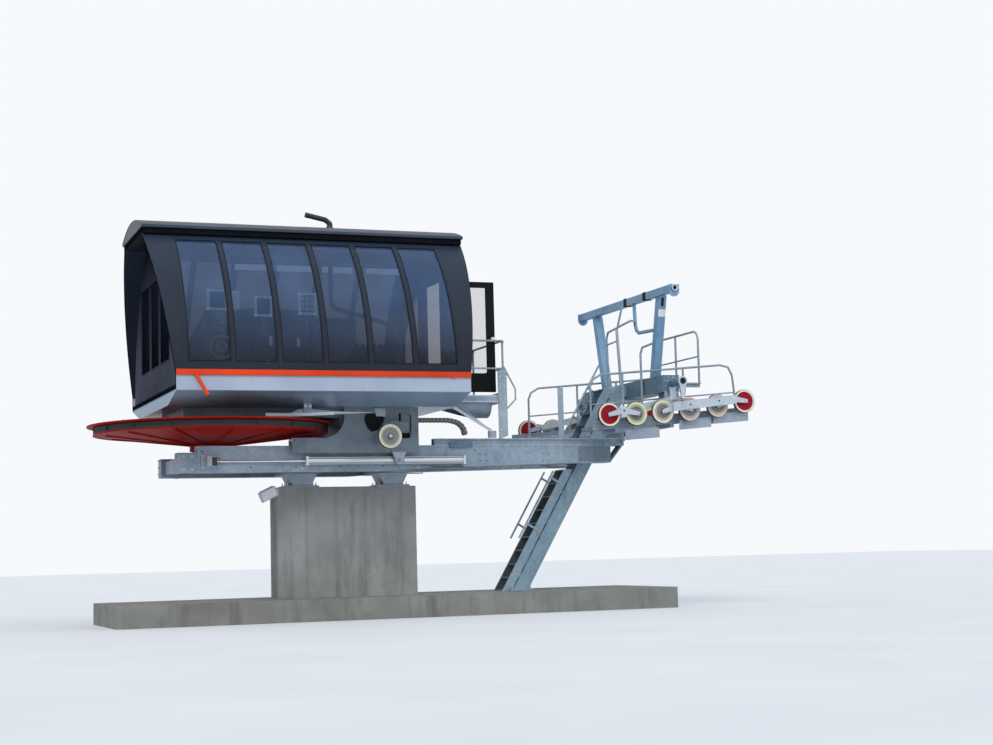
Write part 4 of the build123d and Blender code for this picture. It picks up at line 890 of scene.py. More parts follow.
def crossarm_fittings():
    """Stiffeners, seams, end rings, collars and saddles, drop plates and the foot plates of the posts."""
    shape = Shape()
    low, top, foot = ARM_Z - 0.155, ARM_Z + 0.155, 1.15
    tube_end = [(0.086, 0.0), (0.094, 0.003), (0.094, 0.026), (0.090, 0.029), (0.070, 0.029), (0.067, 0.026),
                (0.067, 0.0)]
    drop = arc(0, 0, 0.090, 0.090, range(205, 340, 15))
    drop += [(0.046, -0.18), (0.042, -0.33), (-0.042, -0.33), (-0.046, -0.18)]
    saddle = [(0.150, -0.150), (0.165, -0.27), (0.110, -0.345), (-0.095, -0.345), (-0.150, -0.27), (-0.150, -0.150),
              (-0.075, -0.150)] + arc(0, -0.165, 0.080, 0.100, range(180, 361, 20)) + [(0.085, -0.150)]
    for shape.side in (-1, 1):
        for y in (0.62, 1.62):
            for x in (ARM_X - 0.174, ARM_X + 0.174):
                shape.box(x - 0.004, x + 0.004, y - 0.006, y + 0.006, low + 0.01, top - 0.01, ZINC_SHADE)
        shape.lathe(tube_end, (ARM_X, 2.432, ARM_Z), OUT, 40, ZINC_PALE)
        # Dark disc of painted shade in the tube's open end.
        shape.lathe(ring(0.0005, 0.0675, 0.0, 0.003), (ARM_X, 2.4325, ARM_Z), OUT, 32, HOLE_SHADE, closed=False)
        shape.plate([(ARM_X + a, ARM_Z + b) for a, b in drop], 2.440, 2.452, ZINC_PALE)
        shape.plate([(ARM_X + a, ARM_Z + b) for a, b in saddle], 1.940, 1.956, ZINC)
        collar = [(0.080, 0.0), (0.100, 0.0), (0.100, 0.014), (0.080, 0.030)]
        shape.lathe(collar, (ARM_X, 1.95, ARM_Z), OUT, 32, ZINC_SHADE)
        for dx, dz in around(8, 0.125, 22.5):
            shape.bolt((ARM_X + dx, 1.95, ARM_Z + dz), OUT, 0.010)
        shape.box(ARM_X - 0.10, ARM_X + 0.165, foot - 0.15, foot + 0.15, top, top + 0.018, ZINC_BLUE)
        for dx in (-0.08, 0.145):
            for dy in (-0.125, 0.125):
                shape.bolt((ARM_X + dx, foot + dy, top + 0.018), UP, 0.014)
    for z in (low, top):
        shape.box(ARM_X - 0.176, ARM_X + 0.176, -1.95, 1.95, z - 0.006, z + 0.006, ZINC_SHADE)
    shape.done("crossarm_fittings", "base", 0.002)


def post_y(z):
    """How far out the middle of a lifting frame's leaning post is at a height."""
    return 1.15 + 0.395 * (z - 4.46) / 1.6


def lifting_frame_fittings():
    """Rings round the beam's end holes, dark clamps on it, plates, and a slot and a blank plate on the near post; the
    end holes and the slot are dark painted shade.
    """
    shape = Shape()
    end_ring = [(0.062, 0.0), (0.066, 0.003), (0.066, 0.016), (0.062, 0.020), (0.044, 0.020), (0.0405, 0.016),
                (0.0405, 0.0)]
    for shape.side in (-1, 1):
        shape.lathe(end_ring, (ARM_X, 2.244, LIFT_Z), OUT, 36, ZINC_PALE)
        # Dark disc of painted shade in the end hole.
        shape.lathe(ring(0.0005, 0.0395, 0.0, 0.004), (ARM_X, 2.18, LIFT_Z), OUT, 24, HOLE_SHADE, closed=False)
        for x, z in ((0.085, 0.03), (0.07, -0.10)):
            for x in (-x, x):
                shape.bolt((ARM_X + x, 2.22, LIFT_Z + z), OUT, 0.010)
        shape.box(ARM_X - 0.078, ARM_X + 0.095, 1.41, 1.69, LIFT_Z - 0.080, LIFT_Z - 0.070, ZINC_BLUE)
        for z in (4.60, 5.60):
            shape.box(6.276, 6.281, post_y(z) - 0.05, post_y(z) + 0.05, z - 0.04, z + 0.04, ZINC_BLUE)
    for y in (-0.12, -1.02):
        for x0, x1, z0, z1 in edging(-0.080, 0.080, -0.080, 0.080, 0.010):
            shape.box(ARM_X + x0, ARM_X + x1, y - 0.055, y + 0.055, LIFT_Z + z0, LIFT_Z + z1, DULL_BLACK)
        for x in (-0.05, 0.05):
            shape.bolt((ARM_X + x, y, LIFT_Z + 0.080), UP, 0.009)
    shape.side = -1
    # The slot is a dark plate of painted shade.
    for x0, x1, low, high, thick, finish in ((6.285, 6.435, 5.66, 5.80, 0.004, WHITE),
                                             (6.330, 6.385, 5.86, 6.02, 0.002, HOLE_SHADE)):
        rings = []
        for z in (low, high):
            y = post_y(z) + 0.087
            rings.append([(x0, y + thick, z), (x1, y + thick, z), (x1, y - 0.002, z), (x0, y - 0.002, z)])
        shape.skin(rings, finish)
    shape.done("lifting_frame_fittings", "base", 0.0015)


crossarm_fittings()
lifting_frame_fittings()


# --- Leg, stair and landing ---

def leg_fittings():
    """Edge flanges on the leg, a bead round its foot and the welds across it."""
    shape = Shape()
    for shape.side in (-1, 1):
        for x in (-0.155, 0.137):
            shape.plate(along_leg(0.43, 4.08, x, x + 0.018), LEG_Y, LEG_Y + 0.008, ZINC_LEG)
        shape.box(leg_x(0.43) - 0.16, leg_x(0.43) + 0.17, LEG_Y, LEG_Y + 0.012, 0.428, 0.450, ZINC_LEG)
        for z in (1.3, 2.2):
            shape.box(leg_x(z) - 0.13, leg_x(z) + 0.13, LEG_Y, LEG_Y + 0.0025, z - 0.004, z + 0.004, ZINC_LEG)
    shape.done("leg_fittings", "base", 0.0015)


def stair():
    """Both flights: plate stringers with dark sheets of painted shade on their inner faces, open treads in a dark
    painted-shade tone, handrails, and flat brackets square to the slope.
    """
    shape = Shape()
    square, slope, rail_back = Vector((0.863, 0, -0.505)), (0.505, 0, 0.863), 0.59
    for low, high, front, back, inside in ((0.40, 2.75, -0.375, -0.185, STAIR_SHADE),
                                           (3.16, 4.365, -0.395, -0.205, ZINC_SHADE)):
        for shape.side in (-1, 1):
            shape.plate(along_leg(low, high, front, back), STRINGER_Y - 0.009, STRINGER_Y + 0.009, ZINC_LEG)
            # Thin dark sheets on the stringers' inner faces: painted shade.
            sheet = along_leg(low, high, front + 0.012, back - 0.004, 0.02)
            shape.plate(sheet, STRINGER_Y - 0.008, STRINGER_Y - 0.011, inside)
    for z in (0.70, 2.30, 3.42, 4.20):
        for shape.side in (-1, 1):
            shape.box(leg_x(z) - 0.36, leg_x(z) - 0.150, 0.22, STRINGER_Y + 0.0115, z - 0.025, z + 0.025, ZINC_LEG)
            for back in (0.33, 0.25):
                shape.bolt((leg_x(z) - back, STRINGER_Y + 0.0115, z), OUT, 0.008)
    for low, count, step, front, back in ((0.4, 9, 0.26, 0.375, 0.190), (3.16, 5, 0.235, 0.45, 0.255)):
        for number in range(1, count + 1):
            z = low + number * step
            x0, x1 = leg_x(z) - front, leg_x(z) - back
            for x in (x0, x1 - 0.012):
                shape.box(x, x + 0.012, -0.222, 0.222, z - 0.016, z + 0.012, STAIR_SHADE)
            for k in range(1, 5):
                x = x0 + (x1 - x0) * k / 5
                shape.box(x - 0.002, x + 0.002, -0.222, 0.222, z - 0.012, z + 0.012, STAIR_SHADE)
            for k in range(9):
                y = -0.20 + 0.05 * k
                shape.box(x0, x1, y - 0.003, y + 0.003, z - 0.004, z + 0.010, STAIR_SHADE)
    for shape.side, low, high, places, reach in ((-1, 1.42, 2.72, (1.70, 2.60), 0.345),
                                                 (1, 1.42, 2.72, (1.70, 2.60), 0.345),
                                                 (1, 3.55, 4.89, (3.84, 4.42), 0.30)):
        ends = [(leg_x(z) - rail_back, STRINGER_Y, z) for z in (low, high)]
        shape.rod(*ends, 0.020, ZINC)
        for z in places:
            start = Vector((leg_x(z) - rail_back, STRINGER_Y + 0.012, z))
            shape.plank(start, start + square * reach, 0.008, 0.042, ZINC, slope)
            for spot in (0.0, 0.26):
                shape.bolt(start + square * spot, OUT, 0.008)
    shape.done("stair", "base", 0, replaces=["leg_ladder"])


def landing_fittings():
    """Open grating on the landing, its edge channel, plate bolts, rail clamps and the tray's bands."""
    shape = Shape()
    x0, x1, y0, y1, deck = 2.07, 3.165, -1.165, 0.515, 4.12
    for k in range(22):
        x = x0 + (x1 - x0) * (k + 0.5) / 22
        shape.box(x - 0.003, x + 0.003, y0 + 0.01, y1 - 0.01, deck, deck + 0.010, ZINC)
    for k in range(15):
        y = y0 + (y1 - y0) * (k + 0.5) / 15
        shape.box(x0, x1, y - 0.003, y + 0.003, deck, deck + 0.012, ZINC)
    for low, high in ((3.990, 4.012), (4.104, 4.128)):
        shape.box(x0, x1 - 0.14, y0 - 0.008, y0 - 0.004, low, high, ZINC_PALE)
    shape.box(x1 + 0.004, x1 + 0.010, y0, y1, 3.99, 4.20, ZINC_PALE)
    for z in (3.46, 3.75, 4.05, 4.28, 4.48):
        for x in (3.075, 3.165):
            shape.bolt((x, -1.190, z), NEAR, 0.012)
    for x, y in ((3.15, -1.15), (3.15, 0.50), (2.13, -1.15)):
        for z in (4.64, 5.15, 4.19):
            shape.lathe(ring(0.0205, 0.030, -0.022, 0.022), (x, y, z), UP, 18, ZINC)
    for x in (2.93, 2.88):
        shape.bolt((x, -1.14, 3.385), NEAR, 0.012)
    shape.tube([(x, -1.50, 3.874) for x in (1.25, 1.70, 2.04)], 0.011, ZINC_PALE, 10, 0.08)
    shape.plank((2.02, -1.49, 3.866), (2.88, -1.20, 3.44), 0.012, 0.052, ZINC_PALE, (0.45, 0, 0.9))
    shape.done("landing_fittings", "carriage", 0.0015)


leg_fittings()
stair()
landing_fittings()


# --- Housing ---

def housing_trim(where, side):
    """Rubber round the panes, covers and screws on the panels, seams of the skirt, the gutter's trim and a spout."""
    shape = Shape(side)

    def strip(spots, out, within, finish):
        """A strip that follows the wall, from out to within of its face; spots are (x0, x1, z)."""
        rings = []
        for x0, x1, z in spots:
            y0, y1 = wall_y(z, out), wall_y(z, within)
            rings.append([(x0, y0, z), (x1, y0, z), (x1, y1, z), (x0, y1, z)])
        shape.skin(rings, finish)

    for x0, x1 in PANES:
        for x in (x0, x1):
            strip([(x - 0.007, x + 0.007, SILL + (HEAD - SILL) * k / 10) for k in range(11)], 0.004, -0.018, GASKET)
        for z in (SILL, HEAD):
            strip([(x0, x1, z - 0.007), (x0, x1, z + 0.007)], 0.004, -0.018, GASKET)
    for x in [PANES[0][0] - 0.05] + [pane[1] + 0.05 for pane in PANES]:
        strip([(x - 0.022, x + 0.022, 4.44 + 0.24 * k) for k in range(11)], 0.007, -0.002, BLACK)
        for z in (4.52, 4.95, 5.4, 5.85, 6.3, 6.72, 6.96):
            rise = (z - WALL_MIDDLE[1]) / WALL_RADIUS
            normal = (0, math.sqrt(1 - rise ** 2), rise)
            shape.screw((x, wall_y(z, 0.007), z), normal, 0.006, 0.0015, 0.004, 0.003, DARK_BOLT)
    for low, high, out in zip(HOUSE_X, HOUSE_TOP_X, (-1, 1)):
        shares = [0.002 + 0.994 * k / 12 for k in range(13)]
        strip([(low + (high - low) * share - out * 0.004, low + (high - low) * share + out * 0.003,
                SKIRT_TOP + (WALL_TOP - SKIRT_TOP) * share) for share in shares], 0.0015, -0.0465, DEEP_BLACK)
    for x in (-1.98, 0.02, 1.62):
        shape.box(x - 0.0015, x + 0.0015, SKIRT_Y, SKIRT_Y + 0.002, SKIRT_LOW + 0.004, SKIRT_TOP - 0.002, SKIRT)
        for dx in (-0.022, 0.022):
            for z in (4.10, 4.30):
                shape.screw((x + dx, SKIRT_Y, z), OUT, 0.005, 0.002, 0.003, 0.003, SKIRT)
    shape.box(*HOUSE_X, SKIRT_Y + 0.030, SKIRT_Y + 0.034, SKIRT_TOP + 0.012, SKIRT_TOP + 0.022, ORANGE)
    for x in (-2.96, 1.72):
        shape.box(x - 0.035, x + 0.035, SKIRT_Y + 0.020, SKIRT_Y + 0.036, SKIRT_TOP - 0.018, SKIRT_TOP + 0.060, ORANGE)
    mouth, spout = (-2.79, SKIRT_Y + 0.165, SKIRT_TOP - 0.37), (0.18, 0.13, -0.38)
    lip = [(0.032, -0.03), (0.036, -0.028), (0.036, 0.0), (0.027, 0.001), (0.026, -0.006), (0.0005, -0.006)]
    shape.lathe(lip, mouth, spout, 24, ORANGE, closed=False)
    # Dark disc of painted shade in the spout's mouth.
    shape.lathe([(0.025, 0.0012), (0.001, 0.0014)], mouth, spout, 20, GASKET, closed=False)
    shape.done(f"housing_trim_{where}", "carriage", 0)


def roof_trim():
    """Black sheet as painted shade on the fascia and under the crown's edge, a drip bead and capped ends."""
    shape = Shape()
    x0, x1, half, low, high = -3.65, 2.39, 1.07, WALL_TOP + 0.002, WALL_TOP + 0.098
    bead_y, bead_z, screws = 1.097, 7.128, 12
    for shape.side in (-1, 1):
        shape.box(x0, x1, half, half + 0.004, low, high, DEEP_BLACK)
        shape.box(x0, x1, half + 0.002, half + 0.028, high - 0.002, high + 0.0015, DEEP_BLACK)
        shape.tube([(x0 - 0.02, bead_y, bead_z), (x1 + 0.02, bead_y, bead_z)], 0.006, SLATE, 8)
        for k in range(screws + 1):
            x = x0 + 0.12 + (x1 - x0 - 0.24) * k / screws
            shape.screw((x, half + 0.004, 7.05), OUT, 0.007, 0.002, 0.004, 0.003, DARK_BOLT)
    crown = [(-1.095 + 2.19 * k / 16, 7.164 + 0.222 * (1 - (-1 + k / 8) ** 2)) for k in range(17)]
    for x, out in ((x0, -1), (x1, 1)):
        shape.box(x, x + out * 0.004, -half, half, low, high, DEEP_BLACK)
        rim = [(x + out * 0.032, y, z) for y, z in crown]
        for start, end in zip(rim, rim[1:]):
            shape.plank(start, end, 0.006, 0.014, SLATE)
    shape.done("roof_trim", "carriage", 0)


def end_wall_trim():
    """Gaskets and sheet screws on the end walls, the door's frame and the black sheet on the floor's ends."""
    shape = Shape()

    def frame_round(x, thick, opening, wide, finish):
        for y0, y1, z0, z1 in surround(*opening, wide):
            shape.box(x, x + thick, y0, y1, z0, z1, finish)

    low, high = END_WALLS
    for x, thick in ((low - 0.040, -0.006), (low, 0.006)):
        for y0, y1 in ((-1.5, -0.56), (-0.42, 0.42), (0.56, 1.5)):
            frame_round(x, thick, (y0, y1, 4.7, 6.3), 0.022, GASKET)
    for x, thick in ((high + 0.040, 0.006), (high, -0.006)):
        frame_round(x, thick, (0.4, 1.4, 4.7, 6.3), 0.022, GASKET)
        frame_round(x, thick * 2, (-0.95, -0.04, 4.19, 6.32), 0.045, DULL_BLACK)
    for y in (-1.75, -0.49, 0.49, 1.75):
        for z in (4.5, 5.1, 5.7, 6.3):
            shape.screw((low - 0.040, y, z), DOWNHILL, 0.007, 0.002, 0.004, 0.004, DARK_BOLT)
    for x, thick in zip(HOUSE_X, (-0.004, 0.004)):
        shape.box(x, x + thick, -SKIRT_Y + 0.004, SKIRT_Y - 0.004, SKIRT_LOW + 0.02, FLOOR, DEEP_BLACK)
        for shape.side in (-1, 1):
            shape.box(x, x + thick, SKIRT_Y - 0.004, SKIRT_Y - 0.058, FLOOR, SKIRT_TOP, DEEP_BLACK)
    shape.done("end_wall_trim", "carriage", 0.001)


def door_trim():
    """Gasket round the door's glass, the white knobs, hinge leaves and a kick plate."""
    shape = Shape()
    x0, y = DOOR_AXIS
    knob = [(0.0005, 0.0), (0.034, 0.0), (0.034, 0.006), (0.018, 0.014), (0.018, 0.045), (0.040, 0.050), (0.043, 0.062),
            (0.036, 0.074), (0.0005, 0.078)]
    for face, knob_x in ((-1, 0.90), (1, 0.86)):
        at = y + face * 0.02
        for left, right, low, high in surround(x0 + 0.165, x0 + 0.795, 4.56, 6.21, 0.02):
            shape.box(left, right, at, at + face * 0.005, low, high, GASKET)
        shape.box(x0 + 0.06, x0 + 0.93, at, at + face * 0.003, 4.22, 4.50, DULL_BLACK)
        shape.lathe(knob, (x0 + knob_x, at, 5.21), (0, face, 0), 28, WHITE, closed=False)
        for z in (4.635, 6.035):
            shape.box(x0 + 0.02, x0 + 0.11, at, at + face * 0.004, z - 0.04, z + 0.04, DULL_BLACK)
            for dx in (0.045, 0.085):
                shape.bolt((x0 + dx, at + face * 0.004, z), (0, face, 0), 0.005)
    shape.done("door_trim", "door", 0.0015)


for where, side in SIDES:
    housing_trim(where, side)
roof_trim()
end_wall_trim()
door_trim()


# --- Carriage plates, tension cylinders and the cable chain ---

def cheek_fittings(where, side):
    """The plate's bolts and bead, its side opening and window drawn with dark plates of painted shade, the trunnion's
    lug and cap, and the idler's arm.
    """
    shape = Shape(side)
    out, shoe_y, arm, idler = CHEEK_OUT, 1.29, ROPE_Y - 0.055, ROPE_Y + 0.060
    for x, z in ((-0.98, 3.24), (-0.80, 3.24), (-0.60, 3.24), (1.33, 3.08), (1.33, 3.44), (1.33, 3.80), (-0.95, 3.08),
                 (0.94, 3.82)):
        shape.bolt((x, out, z), OUT, 0.012, PLATE)
    shape.tube([(-1.0, out + 0.001, 3.034), (1.36, out + 0.001, 3.034)], 0.006, PLATE, 6)
    shape.box(0.80, 1.00, out - 0.025, out - 0.003, 3.28, 3.78, PLATE)
    # Dark plate behind the window: painted shade inside it.
    shape.box(0.98, 1.28, out - 0.07, out - 0.058, 3.28, 3.78, DULL_BLACK)
    shape.box(1.225, 1.245, out - 0.058, out - 0.03, 3.30, 3.76, ZINC)
    # Dark plate on the face for the side opening: painted shade in the recess.
    mouth = [(0.345, 3.735), (0.43, 3.760), (0.73, 3.760), (0.735, 3.690), (0.70, 3.60), (0.60, 3.45), (0.47, 3.415),
             (0.38, 3.49), (0.33, 3.63)]
    shape.plate(mouth, out - 0.002, out + 0.0015, DULL_BLACK)
    rim = [(x, out + 0.003, z) for x, z in mouth]
    for start, end in zip(rim, rim[1:] + rim[:1]):
        shape.plank(start, end, 0.006, 0.010, PLATE, OUT)
    tab = [(0.52, 3.85), (0.74, 3.85), (0.73, 3.69), (0.66, 3.705), (0.56, 3.70)]
    shape.plate(tab, out + 0.004, out + 0.030, ZINC)
    arm_plate = [(0.66, 3.36), (0.86, 3.375), (1.13, 3.44), (1.145, 3.58), (0.86, 3.615), (0.66, 3.56)]
    shape.plate(arm_plate, out + 0.025, out + 0.15, PLATE)
    lug = [(TRUNNION_X - 0.135, 3.045), (TRUNNION_X + 0.140, 3.045)]
    lug += arc(TRUNNION_X, CYLINDER_Z, 0.076, 0.084, range(10, -200, -20))
    shape.plate(lug, out + 0.028, out + 0.036, ZINC)
    shape.box(-1.035, -1.02, shoe_y - 0.03, shoe_y + 0.03, 3.20, 3.30, ZINC)
    shape.rod((-1.07, shoe_y, 3.27), (-0.99, shoe_y, 3.27), 0.016, BOLT)
    shape.bolt((-1.035, shoe_y, 3.27), DOWNHILL, 0.018)
    cap = [(0.0005, 0.0), (0.040, 0.0), (0.040, 0.008), (0.032, 0.012), (0.0005, 0.014)]
    shape.lathe(cap, (TRUNNION_X, out + 0.034, CYLINDER_Z), OUT, 28, PLATE, closed=False)
    shape.bolt((TRUNNION_X, out + 0.048, CYLINDER_Z), OUT, 0.014, ZINC)
    boss = [(0.072, 0.0), (0.090, 0.004), (0.090, 0.026), (0.072, 0.030)]
    shape.lathe(boss, (IDLER_X, arm - 0.03, IDLER_Z), OUT, 28, ZINC)
    shape.pin(IDLER_X, IDLER_Z, idler - 0.020, idler, 0.040, ZINC, 24)
    shape.bolt((IDLER_X, idler, IDLER_Z), OUT, 0.014)
    shape.done(f"cheek_fittings_{where}", "carriage", 0.002)


def cylinder_fittings(where, side):
    """Tie rods, end-cap nuts, ports and the pipe between them on the barrel."""
    shape = Shape(side)
    y, z, reach = CYLINDER_Y, CYLINDER_Z, 0.060
    low_end, high_end, port_x = -0.79, 2.325, 2.278
    for dy in (-reach, reach):
        for dz in (-reach, reach):
            shape.rod((low_end, y + dy, z + dz), (high_end, y + dy, z + dz), 0.009, BOLT, 10)
            shape.bolt((low_end + 0.023, y + dy, z + dz), DOWNHILL, 0.012)
            shape.bolt((high_end - 0.023, y + dy, z + dz), UPHILL, 0.012)
    for x in (-0.742, port_x):
        shape.rod((x, y, z - 0.078), (x, y, z - 0.105), 0.016, BOLT)
    pipe = [(port_x, y, z - 0.100), (port_x, y, z - 0.128), (1.70, y, z - 0.128), (1.64, y, z - 0.106)]
    shape.tube(pipe, 0.009, DARK_STEEL, 8, 0.04)
    gland = [(0.0205, 0.0), (0.044, 0.0), (0.044, -0.012), (0.034, -0.022), (0.0205, -0.022)]
    shape.lathe(gland, (-0.766, y, z), UPHILL, 28, BOLT)
    shape.done(f"cylinder_fittings_{where}", "carriage", 0.001)


def rod_fork_fittings(where, side):
    """The pin through the fork, its rings, and the bolts of the fork's foot."""
    shape = Shape(side)
    y, z = CYLINDER_Y, CYLINDER_Z
    shape.rod((FORK_X, y, z - 0.112), (FORK_X, y, z + 0.112), 0.018, BOLT, 16)
    for dz in (-0.099, 0.093):
        shape.lathe(ring(0.018, 0.032, 0.0, 0.006), (FORK_X, y, z + dz), UP, 20, BOLT)
    for dz in (-0.104, 0.104):
        for x in (-2.63, -2.50):
            shape.bolt((x, 1.16, z + dz), OUT, 0.010)
    shape.done(f"rod_fork_fittings_{where}", "base", 0.0015)


def cable_chain():
    """Link after link along the loop: two side plates with a pin boss, and pale ribs across."""
    shape = Shape()
    path = [Vector((x, CHAIN_Y, z)) for x, z in ((1.32, 3.64), (2.0, 3.64), (2.18, 3.60), (2.29, 3.50), (2.32, 3.37))]
    lengths = [(b - a).length for a, b in zip(path, path[1:])]

    def at(travelled):
        """The place on the path that far from its start."""
        for a, b, length in zip(path, path[1:], lengths):
            if travelled <= length:
                return a.lerp(b, travelled / length)
            travelled -= length
        return path[-1]

    total, links, half_wide = sum(lengths), 15, Vector((0, 0.059, 0))
    boss = [(0.0005, 0.0), (0.017, 0.0), (0.015, 0.011), (0.0005, 0.012)]
    for k in range(links):
        start, end = at(total * k / links), at(total * (k + 1) / links)
        along = (end - start).normalized()
        high = Vector((-along.z, 0, along.x))
        for way in (-1, 1):
            plate, lap = Vector((0, 0.05 * way, 0)), Vector((0, 0.056 * way, 0))
            shape.plank(start.lerp(end, 0.06) + plate, start.lerp(end, 0.94) + plate, 0.010, 0.082, CHAIN, high)
            shape.plank(start.lerp(end, 0.30) + lap, start.lerp(end, 1.10) + lap, 0.006, 0.060, CHAIN, high)
            shape.lathe(boss, start.lerp(end, 0.98) + plate, (0, way, 0), 12, CHAIN_RIB, closed=False)
        for lift in (-0.040, 0.040):
            middle = start.lerp(end, 0.5) + high * lift
            shape.plank(middle - half_wide, middle + half_wide, 0.016, 0.009, CHAIN_RIB, high)
    shape.box(1.30, 1.36, CHAIN_Y - 0.06, CHAIN_Y + 0.06, 3.595, 3.685, CHAIN)
    shape.done("cable_chain", "carriage", 0.0008, replaces=["drag_chain"])


for where, side in SIDES:
    cheek_fittings(where, side)
    cylinder_fittings(where, side)
    rod_fork_fittings(where, side)
cable_chain()


# --- Bullwheel ---

def bullwheel_details():
    """Screws on the rim, welds along the ribs and a bolted hub cover."""
    shape = Shape()
    for dx, dy in around(24, 2.20, 5):
        shape.bolt((WHEEL_X + dx, dy, 3.63), UP, 0.009, RED)
    rib_ends = ((0.45, 3.272), (1.92, 3.447))
    for ux, uy in around(12, 1.0):
        for aside in (-0.010, 0.010):
            ends = [(WHEEL_X + reach * ux - aside * uy, reach * uy + aside * ux, z) for reach, z in rib_ends]
            shape.tube(ends, 0.005, RED, 6)
    cover = [(0.0005, 3.152), (0.30, 3.152), (0.33, 3.142), (0.36, 3.115), (0.0005, 3.108)]
    shape.lathe(cover, (WHEEL_X, 0, 0), UP, 48, RED, closed=False)
    for dx, dy in around(12, 0.27):
        shape.bolt((WHEEL_X + dx, dy, 3.112), DOWN, 0.016)
    shape.done("bullwheel_details", "bullwheel_body", 0)


def liner_joints():
    """The joints of the liner's segments."""
    shape = Shape()
    for dx, dy in around(18, 2.133):
        centre, along = Vector((WHEEL_X + dx, dy, ROPE_Z)), Vector((-dy, dx, 0)).normalized() * 0.003
        shape.plank(centre - along, centre + along, 0.05, 0.105, LINER)
    shape.done("liner_joints", "bullwheel_body", 0)


bullwheel_details()
liner_joints()


# --- Machinery in the room, seen through the glass ---

def drive_details(shape):
    """The gearbox's flanges and bolts, and the motor's fins, flanges and fan cover."""
    motor_z = 4.57
    for z, r in ((4.19, 0.56), (4.68, 0.55), (4.86, 0.41)):
        flange = [(r - 0.05, -0.018), (r, -0.018), (r + 0.006, 0.0), (r, 0.018), (r - 0.05, 0.018)]
        shape.lathe(flange, (WHEEL_X, 0, z), UP, 48, MACHINE)
        for dx, dy in around(16, r - 0.018):
            shape.bolt((WHEEL_X + dx, dy, z + 0.018), UP, 0.014)
    for y, rise in around(28, 0.345):
        if motor_z + rise > 4.30:
            shape.plank((-1.12, y, motor_z + rise), (-0.18, y, motor_z + rise), 0.010, 0.05, MACHINE, (0, y, rise))
    for x in (-1.15, -0.14):
        shape.lathe(ring(0.30, 0.352, -0.02, 0.02), (x, 0, motor_z), UPHILL, 40, MACHINE)
    fan_cover = [(0.10, 0.0), (0.235, 0.0), (0.245, 0.01), (0.245, 0.10), (0.20, 0.13), (0.10, 0.135)]
    shape.lathe(fan_cover, (-0.11, 0, motor_z), UPHILL, 36, DARK_STEEL)


def engine_details(shape):
    """The backup engine's caps, its exhaust pipes and its flywheel."""
    cap = [(0.0005, 0.0), (0.042, 0.0), (0.042, 0.05), (0.03, 0.07), (0.0005, 0.07)]
    for k in range(6):
        x = 0.60 + 0.12 * k
        shape.lathe(cap, (x, 0, 5.15), UP, 20, DARK_STEEL, closed=False)
        shape.tube([(x, -0.18, 5.05), (x, -0.30, 5.05), (x, -0.34, 4.90)], 0.022, DARK_STEEL, 8, 0.05)
    pipe = [(0.56, -0.36, 4.88), (1.34, -0.36, 4.88), (1.34, -0.36, 5.30), (1.20, -0.10, 5.60), (0.10, 0.0, 5.9),
            (0.10, 0.0, 7.0)]
    shape.tube(pipe, 0.045, DARK_STEEL, 12, 0.15)
    wheel = [(0.04, 0.0), (0.21, 0.0), (0.22, 0.02), (0.21, 0.04), (0.04, 0.04)]
    shape.lathe(wheel, (0.40, -0.02, 4.62), DOWNHILL, 36, DARK_STEEL)


def cabinet_details(shape):
    """Doors, vents, handles, label plates and buttons on the switch cabinets."""
    face = 1.25
    button = [(0.0005, 0), (0.016, 0), (0.016, 0.012), (0.012, 0.016), (0.0005, 0.016)]
    for x, wide, high in ((-1.45, 0.70, 1.85), (-0.70, 0.70, 1.85), (0.05, 0.90, 1.70)):
        middle = x + wide / 2
        for left, right in ((x + 0.02, middle - 0.005), (middle + 0.005, x + wide - 0.02)):
            shape.box(left, right, face - 0.016, face, FLOOR + 0.10, FLOOR + high - 0.03, CABINET)
            for k in range(5):
                z = FLOOR + 0.22 + 0.03 * k
                shape.box(left + 0.05, right - 0.05, face - 0.019, face - 0.015, z, z + 0.012, GASKET)
            shape.box(right - 0.05, right - 0.03, face - 0.035, face - 0.015, FLOOR + 0.95, FLOOR + 1.10, GASKET)
        shape.box(x + 0.08, x + wide - 0.08, face - 0.022, face - 0.014, FLOOR + 1.30, FLOOR + 1.55, WHITE)
        for k in range(4):
            shape.lathe(button, (x + 0.14 + 0.11 * k, face - 0.022, FLOOR + 1.42), NEAR, 14, GASKET, closed=False)


def ceiling_details(shape):
    """Strip lamps, and the trunking with lamp housings under the roof."""
    cover = [(1.085, 6.75), (1.085, 6.87), (1.070, 6.855), (1.062, 6.81), (1.070, 6.765)]
    end_cap = [(1.088, 6.742), (1.088, 6.878), (1.066, 6.858), (1.058, 6.81), (1.066, 6.762)]
    for x0, x1 in ((-1.60, -0.89), (-0.70, 0.04), (0.21, 0.86), (1.11, 1.84)):
        shape.box(x0, x1, 1.085, 1.125, 6.74, 6.88, CABINET)
        shape.rail(cover, x0 + 0.01, x1 - 0.01, STRIP_LAMP)
        for x in (x0, x1 - 0.012):
            shape.rail(end_cap, x, x + 0.012, CABINET)
    for y in (-0.85, 0.85):
        shape.box(-3.0, 1.8, y - 0.03, y + 0.03, 6.93, 7.00, CABINET)
        for x in (-2.4, -0.8, 0.8):
            shape.box(x - 0.6, x + 0.6, y - 0.06, y + 0.06, 6.88, 6.93, WHITE)


